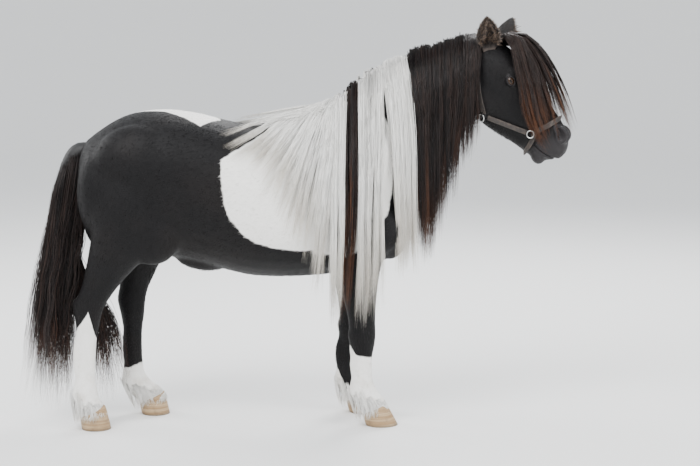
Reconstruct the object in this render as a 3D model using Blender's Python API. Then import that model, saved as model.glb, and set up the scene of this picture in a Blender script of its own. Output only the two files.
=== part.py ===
"""A Shetland pony standing in profile, life size, with its halter.

Metres, +Z up. The pony faces +X and its right side is towards -Y. It is measured in a frame whose floor is
Z = 0 and whose X = 0 lies just behind the withers; the last step moves every piece so that the origin is at
the bottom centre of the whole pony.
"""

import math
import random

import bmesh
import bpy
import numpy as np
from mathutils import Matrix, Vector
from mathutils.bvhtree import BVHTree

# Driving sizes

WITHERS_HEIGHT = 0.985  # top of the withers above the floor, under the mane
GAP = 0.0003  # clearance between two pieces that touch
VOXEL_BODY = 0.009  # grid that melts the lofts of trunk, neck and legs into one body
VOXEL_FINE = 0.0045  # grid that adds the head to it
SEED = 13

# Trunk: top x, z; bottom x, z; half width; waist, the widest level as a share of the height; squareness
TRUNK = (
    (-0.722, 0.800, -0.716, 0.700, 0.050, 0.50, 2.0),
    (-0.704, 0.880, -0.694, 0.600, 0.115, 0.50, 2.1),
    (-0.652, 0.930, -0.650, 0.550, 0.158, 0.55, 2.2),
    (-0.560, 0.981, -0.550, 0.530, 0.188, 0.58, 2.2),
    (-0.450, 0.998, -0.440, 0.530, 0.198, 0.60, 2.2),
    (-0.340, 0.986, -0.320, 0.515, 0.202, 0.57, 2.2),
    (-0.220, 0.957, -0.190, 0.483, 0.214, 0.52, 2.2),
    (-0.100, 0.951, -0.070, 0.468, 0.217, 0.48, 2.2),
    (0.000, 0.972, 0.040, 0.468, 0.205, 0.45, 2.1),
    (0.075, WITHERS_HEIGHT, 0.130, 0.478, 0.188, 0.42, 2.1),
    (0.140, 0.965, 0.210, 0.500, 0.172, 0.42, 2.1),
    (0.200, 0.900, 0.265, 0.520, 0.150, 0.42, 2.1),
    (0.256, 0.790, 0.304, 0.552, 0.118, 0.45, 2.0),
    (0.288, 0.700, 0.320, 0.600, 0.050, 0.50, 2.0),
)

# Neck: crest x, z; underline x, z; half width; waist; squareness
NECK = (
    (-0.060, 0.945, 0.220, 0.560, 0.150, 0.40, 2.0),
    (0.030, 0.980, 0.305, 0.620, 0.152, 0.40, 2.0),
    (0.120, 1.015, 0.345, 0.710, 0.134, 0.40, 1.9),
    (0.215, 1.062, 0.385, 0.800, 0.113, 0.42, 1.9),
    (0.310, 1.112, 0.430, 0.880, 0.097, 0.44, 1.9),
    (0.400, 1.155, 0.475, 0.942, 0.087, 0.46, 1.9),
    (0.480, 1.184, 0.530, 0.985, 0.080, 0.48, 2.0),
    (0.550, 1.195, 0.580, 1.020, 0.068, 0.50, 2.0),
)

# Head, in its own frame: +X down the face, +Z out of the forehead, origin at the poll
POLL = Vector((0.560, 0.0, 1.198))
HEAD_PITCH = math.radians(50)  # face below the horizontal
HEAD_YAW = math.radians(-12)  # the muzzle turns to the right side
SKULL = (
    (-0.035, 0.010, -0.035, -0.060, 0.045, 0.50, 2.0),
    (0.000, 0.034, 0.000, -0.100, 0.062, 0.55, 2.1),
    (0.050, 0.052, 0.050, -0.132, 0.076, 0.60, 2.2),
    (0.100, 0.060, 0.100, -0.152, 0.083, 0.64, 2.3),
    (0.150, 0.059, 0.148, -0.162, 0.080, 0.64, 2.4),
    (0.200, 0.053, 0.192, -0.160, 0.069, 0.64, 2.4),
    (0.250, 0.046, 0.236, -0.148, 0.058, 0.62, 2.3),
    (0.300, 0.040, 0.278, -0.134, 0.050, 0.60, 2.2),
    (0.340, 0.036, 0.315, -0.124, 0.047, 0.58, 2.2),
    (0.380, 0.028, 0.352, -0.116, 0.049, 0.56, 2.2),
    (0.408, 0.012, 0.384, -0.104, 0.045, 0.54, 2.2),
    (0.426, -0.010, 0.406, -0.086, 0.033, 0.52, 2.0),
    (0.432, -0.026, 0.418, -0.066, 0.015, 0.50, 2.0),
)
EYE_CENTRE = Vector((0.146, 0.0660, -0.006))  # left eye, in the head's frame
EYE_RADIUS = 0.0190
NOSTRIL = Vector((0.372, 0.046, 0.004))

# Legs: joint places x, y, z for the right side; the left has its own x and z
SIDES = (("right", -1), ("left", 1))
HIND_STANCE = 0.106  # hoof centre from the midline
FORE_STANCE = 0.096
HIND_JOINTS = {
    "right": ((-0.530, 0.100, 0.820), (-0.580, 0.118, 0.600), (-0.686, HIND_STANCE, 0.365),
              (-0.699, HIND_STANCE, 0.115), (-0.675, HIND_STANCE, 0.056)),
    "left": ((-0.510, 0.100, 0.820), (-0.515, 0.118, 0.600), (-0.560, HIND_STANCE, 0.355),
             (-0.558, HIND_STANCE, 0.113), (-0.499, HIND_STANCE, 0.056)),
}
FORE_JOINTS = {
    "right": ((0.165, 0.105, 0.720), (0.155, 0.106, 0.520), (0.171, 0.100, 0.282),
              (0.172, FORE_STANCE, 0.115), (0.212, FORE_STANCE, 0.056)),
    "left": ((0.165, 0.105, 0.720), (0.150, 0.106, 0.520), (0.148, 0.100, 0.280),
             (0.134, FORE_STANCE, 0.113), (0.170, FORE_STANCE, 0.056)),
}
# Girths: joint above, share of the way to the next joint, reach in front, reach behind, half width
HIND_GIRTHS = (
    (0, 0.00, 0.130, 0.145, 0.085),
    (0, 0.55, 0.120, 0.130, 0.086),
    (1, 0.00, 0.100, 0.100, 0.074),
    (1, 0.40, 0.066, 0.072, 0.055),
    (1, 0.72, 0.045, 0.056, 0.038),
    (1, 0.94, 0.043, 0.054, 0.036),
    (2, 0.12, 0.042, 0.041, 0.036),
    (2, 0.35, 0.034, 0.034, 0.028),
    (2, 0.78, 0.034, 0.034, 0.028),
    (2, 0.97, 0.043, 0.043, 0.036),
    (3, 0.45, 0.038, 0.045, 0.037),
    (3, 0.90, 0.041, 0.046, 0.043),
    (3, 1.45, 0.040, 0.043, 0.042),
)
FORE_GIRTHS = (
    (0, 0.00, 0.100, 0.110, 0.062),
    (0, 0.60, 0.095, 0.105, 0.066),
    (1, 0.00, 0.082, 0.085, 0.062),
    (1, 0.35, 0.062, 0.060, 0.050),
    (1, 0.75, 0.049, 0.044, 0.039),
    (1, 0.97, 0.047, 0.044, 0.041),
    (2, 0.18, 0.042, 0.042, 0.037),
    (2, 0.40, 0.035, 0.035, 0.030),
    (2, 0.75, 0.035, 0.036, 0.030),
    (2, 0.97, 0.043, 0.045, 0.037),
    (3, 0.45, 0.039, 0.047, 0.038),
    (3, 0.90, 0.042, 0.047, 0.044),
    (3, 1.45, 0.040, 0.043, 0.042),
)

# Muscles and bony points that stand out of the lofts: centre, radii, turn about Y in degrees; left side
MUSCLES = (
    ((-0.500, 0.108, 0.820), (0.170, 0.090, 0.140), 10),  # haunch
    ((-0.636, 0.088, 0.740), (0.082, 0.078, 0.150), 0),  # buttock
    ((-0.500, 0.140, 0.620), (0.062, 0.050, 0.085), -20),  # stifle
    ((0.150, 0.118, 0.760), (0.085, 0.066, 0.190), 25),  # shoulder
    ((0.215, 0.112, 0.620), (0.095, 0.062, 0.080), -20),  # upper arm
    ((0.120, 0.120, 0.545), (0.070, 0.050, 0.085), 0),  # elbow
    ((0.258, 0.070, 0.612), (0.060, 0.070, 0.090), 0),  # breast
)
# The same for the legs: joint, offset from it, radii, turn; offsets and radii of the left leg
LEG_FORMS = {
    "hind": ((2, (-0.034, 0.0, 0.014), (0.016, 0.017, 0.040), -8),  # point of the hock
             (2, (0.006, 0.0, -0.014), (0.034, 0.036, 0.048), 0),  # hock
             (3, (-0.020, 0.0, -0.004), (0.024, 0.028, 0.027), 0),  # back of the fetlock
             (3, (-0.010, 0.0, 0.110), (0.030, 0.019, 0.100), 0)),  # tendon
    "fore": ((1, (-0.070, 0.0, 0.045), (0.028, 0.030, 0.045), 0),  # point of the elbow
             (2, (0.004, 0.0, 0.000), (0.040, 0.040, 0.044), 0),  # knee
             (2, (-0.036, 0.0, 0.008), (0.014, 0.018, 0.026), 0),  # bone behind the knee
             (2, (-0.026, 0.0, -0.034), (0.018, 0.018, 0.044), 0),  # back of the cannon
             (3, (-0.022, 0.0, -0.004), (0.024, 0.028, 0.027), 0),  # back of the fetlock
             (3, (-0.012, 0.0, 0.080), (0.032, 0.019, 0.072), 0)),  # tendon
}
SHEATH = ((-0.330, 0.0, 0.520), (0.090, 0.045, 0.038), 8)
FACE_FORMS = (
    ((0.138, 0.058, 0.006), (0.038, 0.025, 0.030), 0),  # brow and orbit
    ((0.118, 0.048, -0.094), (0.080, 0.030, 0.064), 0),  # cheek
    ((0.235, 0.046, -0.016), (0.062, 0.012, 0.012), 8),  # cheekbone
    ((0.376, 0.035, 0.005), (0.032, 0.020, 0.027), 0),  # flare of the nostril
    ((0.404, 0.018, -0.034), (0.028, 0.027, 0.024), 0),  # upper lip
    ((0.376, 0.012, -0.088), (0.034, 0.030, 0.026), 30),  # lower lip and chin
)

# Where the flesh is parted into nodes: a point of each plane and its normal
NECK_SEAM = (Vector((0.185, 0.0, 0.790)), Vector((0.839, 0.0, 0.545)))
HEAD_SEAM = (Vector((0.487, 0.0, 1.070)), Vector((0.995, 0.0, 0.110)))
LEG_TENTS = {"fore": (0.045, 0.420, 0.456, 0.35), "hind": (-0.820, -0.385, 0.497, 0.35)}
CORONET_SLOPE = 0.30  # the hoof's top edge is higher at the toe
TRIANGLES = {"torso": 1000, "neck": 340, "head": 1250, "leg": 380}

# Hooves: reach to the toe and heel, half width at the ground, forward step of the sole from the coronet
HOOVES = {"fore": (0.056, 0.046, 0.049, 0.017), "hind": (0.048, 0.043, 0.045, 0.008)}
HOOF_CROWN = 0.043  # half width just under the coronet

# Eyelids, nostrils and mouth, in the head's frame
EYE_OUT = Vector((0.16, 1.0, 0.10)).normalized()
LID_THICKNESS = 0.0032
LID_OPENING = (0.0150, 0.0105)  # half length and half height
NOSTRIL_RADII = (0.0130, 0.0130, 0.0200)
MOUTH_PLANE = (0.430, -0.050, 0.345, -0.076)  # x, z at the front; x, z at the corner
MOUTH_WIDTH = 0.0018

# Ears: base and tip in the head's frame, left side, and the way the cup opens
EARS = {
    "right": (Vector((0.034, 0.046, 0.020)), Vector((-0.062, 0.074, 0.070)), Vector((0.75, 0.75, 0.25))),
    "left": (Vector((0.024, 0.046, 0.022)), Vector((-0.008, 0.062, 0.116)), Vector((0.80, 0.60, 0.0))),
}
EAR_WIDTH = 0.035  # half width at the widest
EAR_WALL = 0.0042

# Halter: strap width and thickness, ring sizes; places in the head's frame
STRAP_WIDTH = 0.016
STRAP_THICK = 0.0034
STRAP_REST = 0.0050  # middle of the strap above the skin
CHEEK_RING = (0.182, -0.134)
SIDE_RING = (0.316, -0.060)
NOSE_BAND = (0.330, 0.316, 0.348)  # x on the nose, at the rings and under the chin
RING_RADIUS = 0.0115
RING_WIRE = 0.0019
CHEEK_PIECE = ((0.171, -0.130), (0.112, -0.102), (0.050, -0.062), (0.004, -0.024))

# Locks: width and thickness of a lock of each kind
LOCKS = {
    "mane": (0.034, 0.0085),
    "forelock": (0.028, 0.0070),
    "tail": (0.042, 0.0100),
    "feather": (0.020, 0.0060),
}
LAYER_STEP = 0.0105  # height of one layer of locks over the next
WITHERS_LIFT = 0.020  # how much higher the locks start that sweep back over the withers
HAIR_REST = 0.0110  # middle of the lowest layer above the skin
# Mane along the crest: share of the crest, then the tip's x and z
MANE_SPLIT = ((0.312, 1.40), (0.312, 1.10), (0.330, 0.96), (0.342, 0.80), (0.352, 0.63), (0.360, 0.30))

# Mesh helpers

def clear_scene():
    """Takes every object out of the scene."""
    for obj in list(bpy.data.objects):
        bpy.data.objects.remove(obj, do_unlink=True)


def add_object(name, mesh):
    """Puts a mesh in the scene as a named object."""
    obj = bpy.data.objects.new(name, mesh)
    bpy.context.scene.collection.objects.link(obj)
    return obj


def object_from(name, bm):
    """Turns a bmesh into an object with its faces pointing out."""
    bmesh.ops.triangulate(bm, faces=bm.faces)
    bmesh.ops.recalc_face_normals(bm, faces=bm.faces)
    mesh = bpy.data.meshes.new(name)
    bm.to_mesh(mesh)
    bm.free()
    return add_object(name, mesh)


def settle(obj):
    """Applies every modifier of an object to its mesh."""
    bpy.context.view_layer.update()
    graph = bpy.context.evaluated_depsgraph_get()
    mesh = bpy.data.meshes.new_from_object(obj.evaluated_get(graph))
    obj.modifiers.clear()
    obj.data = mesh
    return obj


def copy_of(obj, name):
    """A second object with its own copy of the mesh."""
    return add_object(name, obj.data.copy())


def remove(*objects):
    for obj in objects:
        bpy.data.objects.remove(obj, do_unlink=True)


def catmull_rom(rows, steps):
    """Rows of numbers with steps - 1 smooth rows put in between each two."""
    rows = np.array(rows, float)
    padded = np.vstack([2 * rows[0] - rows[1], rows, 2 * rows[-1] - rows[-2]])
    out = []
    for i in range(len(rows) - 1):
        a, b, c, d = padded[i:i + 4]
        for t in np.linspace(0, 1, steps, endpoint=False):
            bend = (2 * a - 5 * b + 4 * c - d) * t * t + (3 * b - a - 3 * c + d) * t ** 3
            out.append(0.5 * (2 * b + (c - a) * t + bend))
    out.append(rows[-1])
    return np.array(out)


def ring_points(upper, lower, half, waist, power, count):
    """A closed ring through two opposite points, widest at waist, as a superellipse."""
    axis = upper - lower
    middle = lower + axis * waist
    points = []
    for k in range(count):
        angle = 2 * math.pi * k / count
        across, along = math.cos(angle), math.sin(angle)
        reach = (1 - waist) if along > 0 else waist
        side = half * math.copysign(abs(across) ** (2 / power), across)
        rise = reach * math.copysign(abs(along) ** (2 / power), along)
        points.append(middle + axis * rise + Vector((0, side, 0)))
    return points


def loft(name, rings):
    """A closed solid through rings that hold the same number of points."""
    bm = bmesh.new()
    loops = [[bm.verts.new(p) for p in ring] for ring in rings]
    count = len(loops[0])
    for first, second in zip(loops, loops[1:]):
        for k in range(count):
            bm.faces.new((first[k], first[(k + 1) % count], second[(k + 1) % count], second[k]))
    bm.faces.new(loops[0][::-1])
    bm.faces.new(loops[-1])
    return object_from(name, bm)


def profile_loft(name, rows, count=32, steps=4):
    """A solid from rows of top, bottom, half width, waist and squareness in the plane of symmetry."""
    rings = []
    for x1, z1, x2, z2, half, waist, power in catmull_rom(rows, steps):
        upper, lower = Vector((x1, 0, z1)), Vector((x2, 0, z2))
        rings.append(ring_points(upper, lower, max(half, 0.004), waist, power, count))
    return loft(name, rings)


def ellipsoid(name, centre, radii, turn=0.0, subdivisions=4):
    """A ball stretched to radii and turned about Y, in degrees."""
    bm = bmesh.new()
    bmesh.ops.create_icosphere(bm, subdivisions=subdivisions, radius=1)
    place = Matrix.Translation(centre) @ Matrix.Rotation(math.radians(turn), 4, "Y")
    bmesh.ops.transform(bm, matrix=place @ Matrix.Diagonal((*radii, 1)), verts=bm.verts)
    return object_from(name, bm)


def join(name, objects):
    """All the meshes in one object, still overlapping."""
    bm = bmesh.new()
    for obj in objects:
        bm.from_mesh(obj.data)
    mesh = bpy.data.meshes.new(name)
    bm.to_mesh(mesh)
    bm.free()
    remove(*objects)
    return add_object(name, mesh)


def melt(obj, voxel, rounds, factor=0.5):
    """Fuses overlapping shapes on a grid and relaxes the joints between them."""
    remesh = obj.modifiers.new("melt", "REMESH")
    remesh.mode = "VOXEL"
    remesh.voxel_size = voxel
    relax = obj.modifiers.new("relax", "SMOOTH")
    relax.factor = factor
    relax.iterations = rounds
    return settle(obj)


def largest_surface(obj):
    """Keeps only the closed surface with the largest volume."""
    bm = bmesh.new()
    bm.from_mesh(obj.data)
    bm.faces.ensure_lookup_table()
    unseen = set(bm.faces)
    islands = []
    while unseen:
        island = [unseen.pop()]
        for face in island:
            for edge in face.edges:
                for other in edge.link_faces:
                    if other in unseen:
                        unseen.remove(other)
                        island.append(other)
        islands.append(island)

    def volume(island):
        total = 0.0
        for face in island:
            corners = [v.co for v in face.verts]
            for b, c in zip(corners[1:], corners[2:]):
                total += corners[0].dot(b.cross(c)) / 6
        return total

    islands.sort(key=volume, reverse=True)
    dropped = [face for island in islands[1:] for face in island]
    bmesh.ops.delete(bm, geom=dropped, context="FACES")
    bm.to_mesh(obj.data)
    bm.free()
    return obj


def is_closed(obj):
    """Whether the mesh has faces and every edge lies between two of them."""
    bm = bmesh.new()
    bm.from_mesh(obj.data)
    closed = len(bm.faces) > 0 and all(edge.is_manifold for edge in bm.edges)
    bm.free()
    return closed


def merge_close(obj, distance=0.0001):
    """Merges points that all but touch, and drops faces with no area."""
    bm = bmesh.new()
    bm.from_mesh(obj.data)
    bmesh.ops.remove_doubles(bm, verts=bm.verts, dist=distance)
    bmesh.ops.dissolve_degenerate(bm, edges=bm.edges, dist=1e-6)
    bm.to_mesh(obj.data)
    bm.free()


def boolean(obj, others, operation, solvers=("MANIFOLD", "EXACT")):
    """Unites the object with other closed meshes, or cuts them from it, and removes them."""
    group = bpy.data.collections.new("operands")
    bpy.context.scene.collection.children.link(group)
    for other in others:
        bpy.context.scene.collection.objects.unlink(other)
        group.objects.link(other)
    before = obj.data
    for solver in solvers:
        obj.data = before
        modifier = obj.modifiers.new(operation.lower(), "BOOLEAN")
        modifier.operation = operation
        modifier.operand_type = "COLLECTION"
        modifier.collection = group
        modifier.solver = solver
        settle(obj)
        if not is_closed(obj):
            merge_close(obj)
        if is_closed(obj):
            break
    remove(*others)
    bpy.data.collections.remove(group)
    return largest_surface(obj)


def thin_out(obj, triangles):
    """Brings a mesh down to about this many triangles."""
    obj.data.calc_loop_triangles()
    now = len(obj.data.loop_triangles)
    if now > triangles:
        modifier = obj.modifiers.new("thin", "DECIMATE")
        modifier.ratio = triangles / now
        modifier.use_collapse_triangulate = True
        settle(obj)
    return obj


def keep_side(obj, point, normal):
    """Cuts the mesh at a plane, keeps what the normal points to, and closes the cut."""
    bm = bmesh.new()
    bm.from_mesh(obj.data)
    geometry = bm.verts[:] + bm.edges[:] + bm.faces[:]
    found = bmesh.ops.bisect_plane(
        bm, geom=geometry, plane_co=point, plane_no=normal, dist=1e-6, clear_inner=True)
    rim = [e for e in found["geom_cut"] if isinstance(e, bmesh.types.BMEdge)]
    bmesh.ops.holes_fill(bm, edges=rim)
    bm.to_mesh(obj.data)
    bm.free()
    return obj


# Body

def limb(name, joints, girths, side, count=20, steps=3):
    """A leg lofted round its joints, each ring square to the line of the leg."""
    rows = []
    for joint, share, front, back, half in girths:
        upper = Vector(joints[joint])
        lower = Vector(joints[joint + 1])
        place = upper.lerp(lower, share)
        rows.append((*place, front, back, half))
    rows = catmull_rom(rows, steps)
    rings = []
    for i, row in enumerate(rows):
        before, after = rows[max(i - 1, 0)], rows[min(i + 1, len(rows) - 1)]
        along = Vector((after[0] - before[0], 0, after[2] - before[2])).normalized()
        forward = Vector((-along.z, 0, along.x))
        centre = Vector((row[0], side * row[1], row[2]))
        upper, lower = centre + forward * row[3], centre - forward * row[4]
        waist = row[4] / (row[3] + row[4])
        rings.append(ring_points(upper, lower, row[5], waist, 2.0, count))
    return loft(name, rings)


def both_sides(forms):
    """Ellipsoids on the left side and their mirror images on the right."""
    pieces = []
    for centre, radii, turn in forms:
        for _, side in SIDES:
            place = (centre[0], side * centre[1], centre[2])
            pieces.append(ellipsoid("muscle", place, radii, turn))
    return pieces


def head_place():
    """The matrix from the head's frame to the pony's."""
    turn = Matrix.Rotation(HEAD_YAW, 4, "Z") @ Matrix.Rotation(HEAD_PITCH, 4, "Y")
    return Matrix.Translation(POLL) @ turn


def build_flesh():
    """The whole body as one smooth closed surface."""
    pieces = [profile_loft("trunk", TRUNK), profile_loft("neck", NECK)]
    pieces += both_sides(MUSCLES)
    pieces.append(ellipsoid("sheath", *SHEATH))
    for name, side in SIDES:
        for kind, joints, girths in (("hind", HIND_JOINTS, HIND_GIRTHS), ("fore", FORE_JOINTS, FORE_GIRTHS)):
            pieces.append(limb(kind, joints[name], girths, side))
            for joint, offset, radii, turn in LEG_FORMS[kind]:
                x, y, z = joints[name][joint]
                centre = (x + offset[0], side * y, z + offset[2])
                pieces.append(ellipsoid("form", centre, radii, turn))
    body = melt(join("flesh", pieces), VOXEL_BODY, 7)
    skull = [profile_loft("skull", SKULL)] + both_sides(FACE_FORMS)
    for piece in skull:
        piece.data.transform(head_place())
    return melt(join("flesh", [body] + skull), VOXEL_FINE, 4)


# Parting

def tent(kind, lift=0.0, grow=0.0):
    """A prism over a pair of legs; its top is a valley that rises to both sides."""
    x1, x2, z, slope = LEG_TENTS[kind]
    x1, x2, z = x1 - grow, x2 + grow, z + lift
    outline = [(-0.40, -0.20), (0.40, -0.20), (0.40, z + 0.40 * slope), (0.0, z), (-0.40, z + 0.40 * slope)]
    rings = [[Vector((x, y, h)) for y, h in outline] for x in (x1, x2)]
    bm = bmesh.new()
    loops = [[bm.verts.new(v) for v in ring] for ring in rings]
    for k in range(5):
        bm.faces.new((loops[0][k], loops[0][(k + 1) % 5], loops[1][(k + 1) % 5], loops[1][k]))
    for loop in loops:
        a, b, c, d, e = loop
        bm.faces.new((a, d, e))
        bm.faces.new((a, b, d))
        bm.faces.new((b, c, d))
    return object_from("tent", bm)


def part_flesh(flesh):
    """Torso, neck, head and legs, each thinned out and cut to meet its neighbours face to face."""
    nodes = {}
    (neck_at, neck_n), (head_at, head_n) = NECK_SEAM, HEAD_SEAM
    reach = 0.04

    head = keep_side(copy_of(flesh, "head"), head_at - head_n * reach, head_n)
    thin_out(head, TRIANGLES["head"])
    nodes["head"] = keep_side(head, head_at + head_n * GAP, head_n)

    neck = keep_side(copy_of(flesh, "neck"), head_at + head_n * reach, -head_n)
    keep_side(neck, neck_at - neck_n * reach, neck_n)
    thin_out(neck, TRIANGLES["neck"])
    keep_side(neck, head_at, -head_n)
    nodes["neck"] = keep_side(neck, neck_at + neck_n * GAP, neck_n)

    torso = keep_side(copy_of(flesh, "torso"), neck_at + neck_n * reach, -neck_n)
    keep_side(torso, Vector((0, 0, 0.36)), Vector((0, 0, 1)))
    thin_out(torso, TRIANGLES["torso"])
    keep_side(torso, neck_at, -neck_n)
    nodes["torso"] = boolean(torso, [tent("fore", GAP, 0.004), tent("hind", GAP, 0.004)], "DIFFERENCE")

    for kind, joints in (("fore", FORE_JOINTS), ("hind", HIND_JOINTS)):
        for name, side in SIDES:
            leg = keep_side(copy_of(flesh, "leg"), Vector((0, side * 0.012, 0)), Vector((0, side, 0)))
            keep_side(leg, Vector((0, 0, LEG_TENTS[kind][2] + 0.12)), Vector((0, 0, -1)))
            middle = -0.16 if kind == "fore" else -0.20
            keep_side(leg, Vector((middle, 0, 0)), Vector((1 if kind == "fore" else -1, 0, 0)))
            thin_out(leg, TRIANGLES["leg"])
            coronet = Vector(joints[name][4])
            slope = Vector((-CORONET_SLOPE, 0, 1)).normalized()
            keep_side(leg, coronet, slope)
            boolean(leg, [tent(kind)], "INTERSECT")
            nodes["leg_" + kind + "_" + name] = leg
    return nodes


def inflated(objects, distance, name="grown"):
    """A copy of closed meshes with every point moved out along its normal."""
    bm = bmesh.new()
    for obj in objects:
        bm.from_mesh(obj.data)
    bm.normal_update()
    for vert in bm.verts:
        vert.co += vert.normal * (distance * vert.calc_shell_factor())
    mesh = bpy.data.meshes.new(name)
    bm.to_mesh(mesh)
    bm.free()
    return add_object(name, mesh)


def clear_of(obj, neighbours, distance=GAP * 1.4):
    """Cuts a piece back so that it stands clear of its neighbours."""
    return boolean(obj, [inflated([n], distance) for n in neighbours], "DIFFERENCE")


# Head details

def eye_ball(name, side, radius):
    """A ball at the eye, in the pony's frame."""
    bm = bmesh.new()
    bmesh.ops.create_uvsphere(bm, u_segments=12, v_segments=7, radius=radius)
    turn = EYE_OUT.copy()
    turn.y *= side
    place = Matrix.Translation((EYE_CENTRE.x, side * EYE_CENTRE.y, EYE_CENTRE.z))
    bmesh.ops.transform(bm, matrix=head_place() @ place @ turn.to_track_quat("Z", "X").to_matrix().to_4x4(),
                        verts=bm.verts)
    return object_from(name, bm)


def lid_cutter(side):
    """An almond prism that opens the lids."""
    out = Vector((EYE_OUT.x, side * EYE_OUT.y, EYE_OUT.z))
    along = (Vector((1, 0, -0.20)) - out * Vector((1, 0, -0.20)).dot(out)).normalized()
    up = out.cross(along).normalized()
    if up.z < 0:
        up = -up
    centre = Vector((EYE_CENTRE.x, side * EYE_CENTRE.y, EYE_CENTRE.z))
    rings = []
    for depth in (0.006, 0.030):
        ring = []
        for k in range(12):
            angle = 2 * math.pi * k / 12
            across, rise = math.cos(angle), math.sin(angle)
            rise *= 1.0 if rise > 0 else 0.80
            width = LID_OPENING[0] * across
            height = LID_OPENING[1] * rise * (1 - 0.25 * across * across)
            ring.append(centre + out * depth + along * width + up * height)
        rings.append(ring)
    cutter = loft("lids", rings)
    cutter.data.transform(head_place())
    return cutter


def mouth_cutter():
    """A thin curved slot round the front of the muzzle, between the lips."""
    x1, z1, x2, z2 = MOUTH_PLANE
    rings = []
    count = 17
    for k in range(count):
        angle = math.radians(-100 + 200 * k / (count - 1))
        ring = []
        for scale, lift in ((0.76, -1), (1.5, -1), (1.5, 1), (0.76, 1)):
            x = x2 + (x1 - x2 + 0.004) * math.cos(angle) * scale
            y = 0.047 * math.sin(angle) * scale
            share = min(1.0, max(0.0, (x - x2) / (x1 - x2)))
            z = z2 + (z1 - z2) * share - 0.006 * math.sin(math.pi * share)
            ring.append(Vector((x, y, z + lift * MOUTH_WIDTH / 2)))
        rings.append(ring)
    cutter = loft("mouth", rings)
    cutter.data.transform(head_place())
    return cutter


def detail_head(head):
    """Opens eyes, nostrils and mouth in the head."""
    cutters = []
    for _, side in SIDES:
        cutters.append(eye_ball("socket", side, EYE_RADIUS + GAP * 1.3))
        cutters.append(lid_cutter(side))
        place = (NOSTRIL.x, side * NOSTRIL.y, NOSTRIL.z)
        nostril = ellipsoid("nostril", place, NOSTRIL_RADII, -25, 2)
        nostril.data.transform(head_place())
        cutters.append(nostril)
    cutters.append(mouth_cutter())
    for cutter in cutters:
        boolean(head, [cutter], "DIFFERENCE")
    return head


def ear(name, side):
    """A cupped ear whose wall closes into a tip."""
    base, tip, opening = (Vector((v.x, side * v.y, v.z)) for v in EARS[name])
    axis = tip - base
    up = axis.normalized()
    front = (opening - up * opening.dot(up)).normalized()
    across = up.cross(front).normalized()
    # share of the length, half width, depth of the cup, lean of the tip
    levels = ((-0.16, 0.62, 0.0), (0.05, 0.80, 0.10), (0.22, 0.97, 0.60), (0.42, 1.0, 0.92),
              (0.62, 0.84, 1.0), (0.80, 0.56, 1.0), (0.93, 0.28, 0.9))
    rings = []
    for share, width, cup in levels:
        half = EAR_WIDTH * width
        centre = base + axis * share + front * (0.010 * math.sin(math.pi * max(share, 0)))
        ring = []
        for k in range(7):
            angle = math.radians(-125 + 250 * k / 6)
            ring.append(centre - front * (half * 0.72 * math.cos(angle)) + across * (half * math.sin(angle)))
        wall = min(EAR_WALL, half * 0.4)
        for k in range(5):
            angle = math.radians(118 - 236 * k / 4)
            inner = across * ((half - wall) * math.sin(angle))
            inner -= front * ((half * 0.72 - wall) * math.cos(angle))
            lid = front * (half * 0.62) + across * (half * 0.74 * (1 - k / 2))
            ring.append(centre + lid.lerp(inner, cup))
        rings.append(ring)
    rings.append([tip + (p - rings[-1][0]) * 0.03 for p in rings[-1]])
    piece = loft(name, rings)
    piece.data.transform(head_place())
    return piece


# Hooves

def hoof(kind, name, side):
    """A hoof that widens to a flat sole."""
    joints = FORE_JOINTS if kind == "fore" else HIND_JOINTS
    coronet = Vector(joints[name][4])
    centre = Vector((coronet.x, side * coronet.y, coronet.z))
    toe, heel, half, step = HOOVES[kind]
    rings = []
    for share in (0.0, 0.45, 1.35):
        z = centre.z * share
        forward = step * (1 - share)
        ring = []
        for k in range(14):
            angle = 2 * math.pi * k / 14
            across, along = math.sin(angle), math.cos(angle)
            reach = (toe if along > 0 else heel) * (1 - share) + HOOF_CROWN * share
            width = half * (1 - share) + HOOF_CROWN * share
            ring.append(Vector((centre.x + forward + reach * along, centre.y + width * across, z)))
        rings.append(ring)
    piece = loft("hoof", rings)
    slope = Vector((-CORONET_SLOPE, 0, 1)).normalized()
    return keep_side(piece, centre - slope * GAP, -slope)


# Halter

def surface_tree(objects):
    """A search tree over the faces of several objects."""
    bm = bmesh.new()
    for obj in objects:
        bm.from_mesh(obj.data)
    bmesh.ops.triangulate(bm, faces=bm.faces)
    tree = BVHTree.FromBMesh(bm)
    bm.free()
    return tree


def ribbon(name, points, normals, width, thick, closed=False):
    """A flat band through points, lying square to the normals."""
    rings = []
    count = len(points)
    for i in range(count):
        before = points[i - 1] if closed or i else points[0]
        after = points[(i + 1) % count] if closed or i + 1 < count else points[-1]
        along = (after - before).normalized()
        normal = (normals[i] - along * normals[i].dot(along)).normalized()
        across = along.cross(normal)
        corners = ((-1, -1), (1, -1), (1, 1), (-1, 1))
        rings.append([points[i] + across * (a * width / 2) + normal * (b * thick / 2) for a, b in corners])
    if not closed:
        return loft(name, rings)
    bm = bmesh.new()
    loops = [[bm.verts.new(p) for p in ring] for ring in rings]
    for i in range(count):
        first, second = loops[i], loops[(i + 1) % count]
        for k in range(4):
            bm.faces.new((first[k], first[(k + 1) % 4], second[(k + 1) % 4], second[k]))
    return object_from(name, bm)


def head_frame_tree(head):
    """The head's surface in its own frame."""
    bm = bmesh.new()
    bm.from_mesh(head.data)
    bm.transform(head_place().inverted())
    tree = BVHTree.FromBMesh(bm)
    bm.free()
    return tree


def side_point(tree, x, z, side, rest):
    """The place on the side of the head at x, z, lifted off the skin by rest."""
    hit, normal, _, _ = tree.ray_cast(Vector((x, side * 0.4, z)), Vector((0, -side, 0)))
    if hit is None:
        hit, normal, _, _ = tree.find_nearest(Vector((x, side * 0.06, z)))
    return hit + normal * rest, normal


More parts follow.
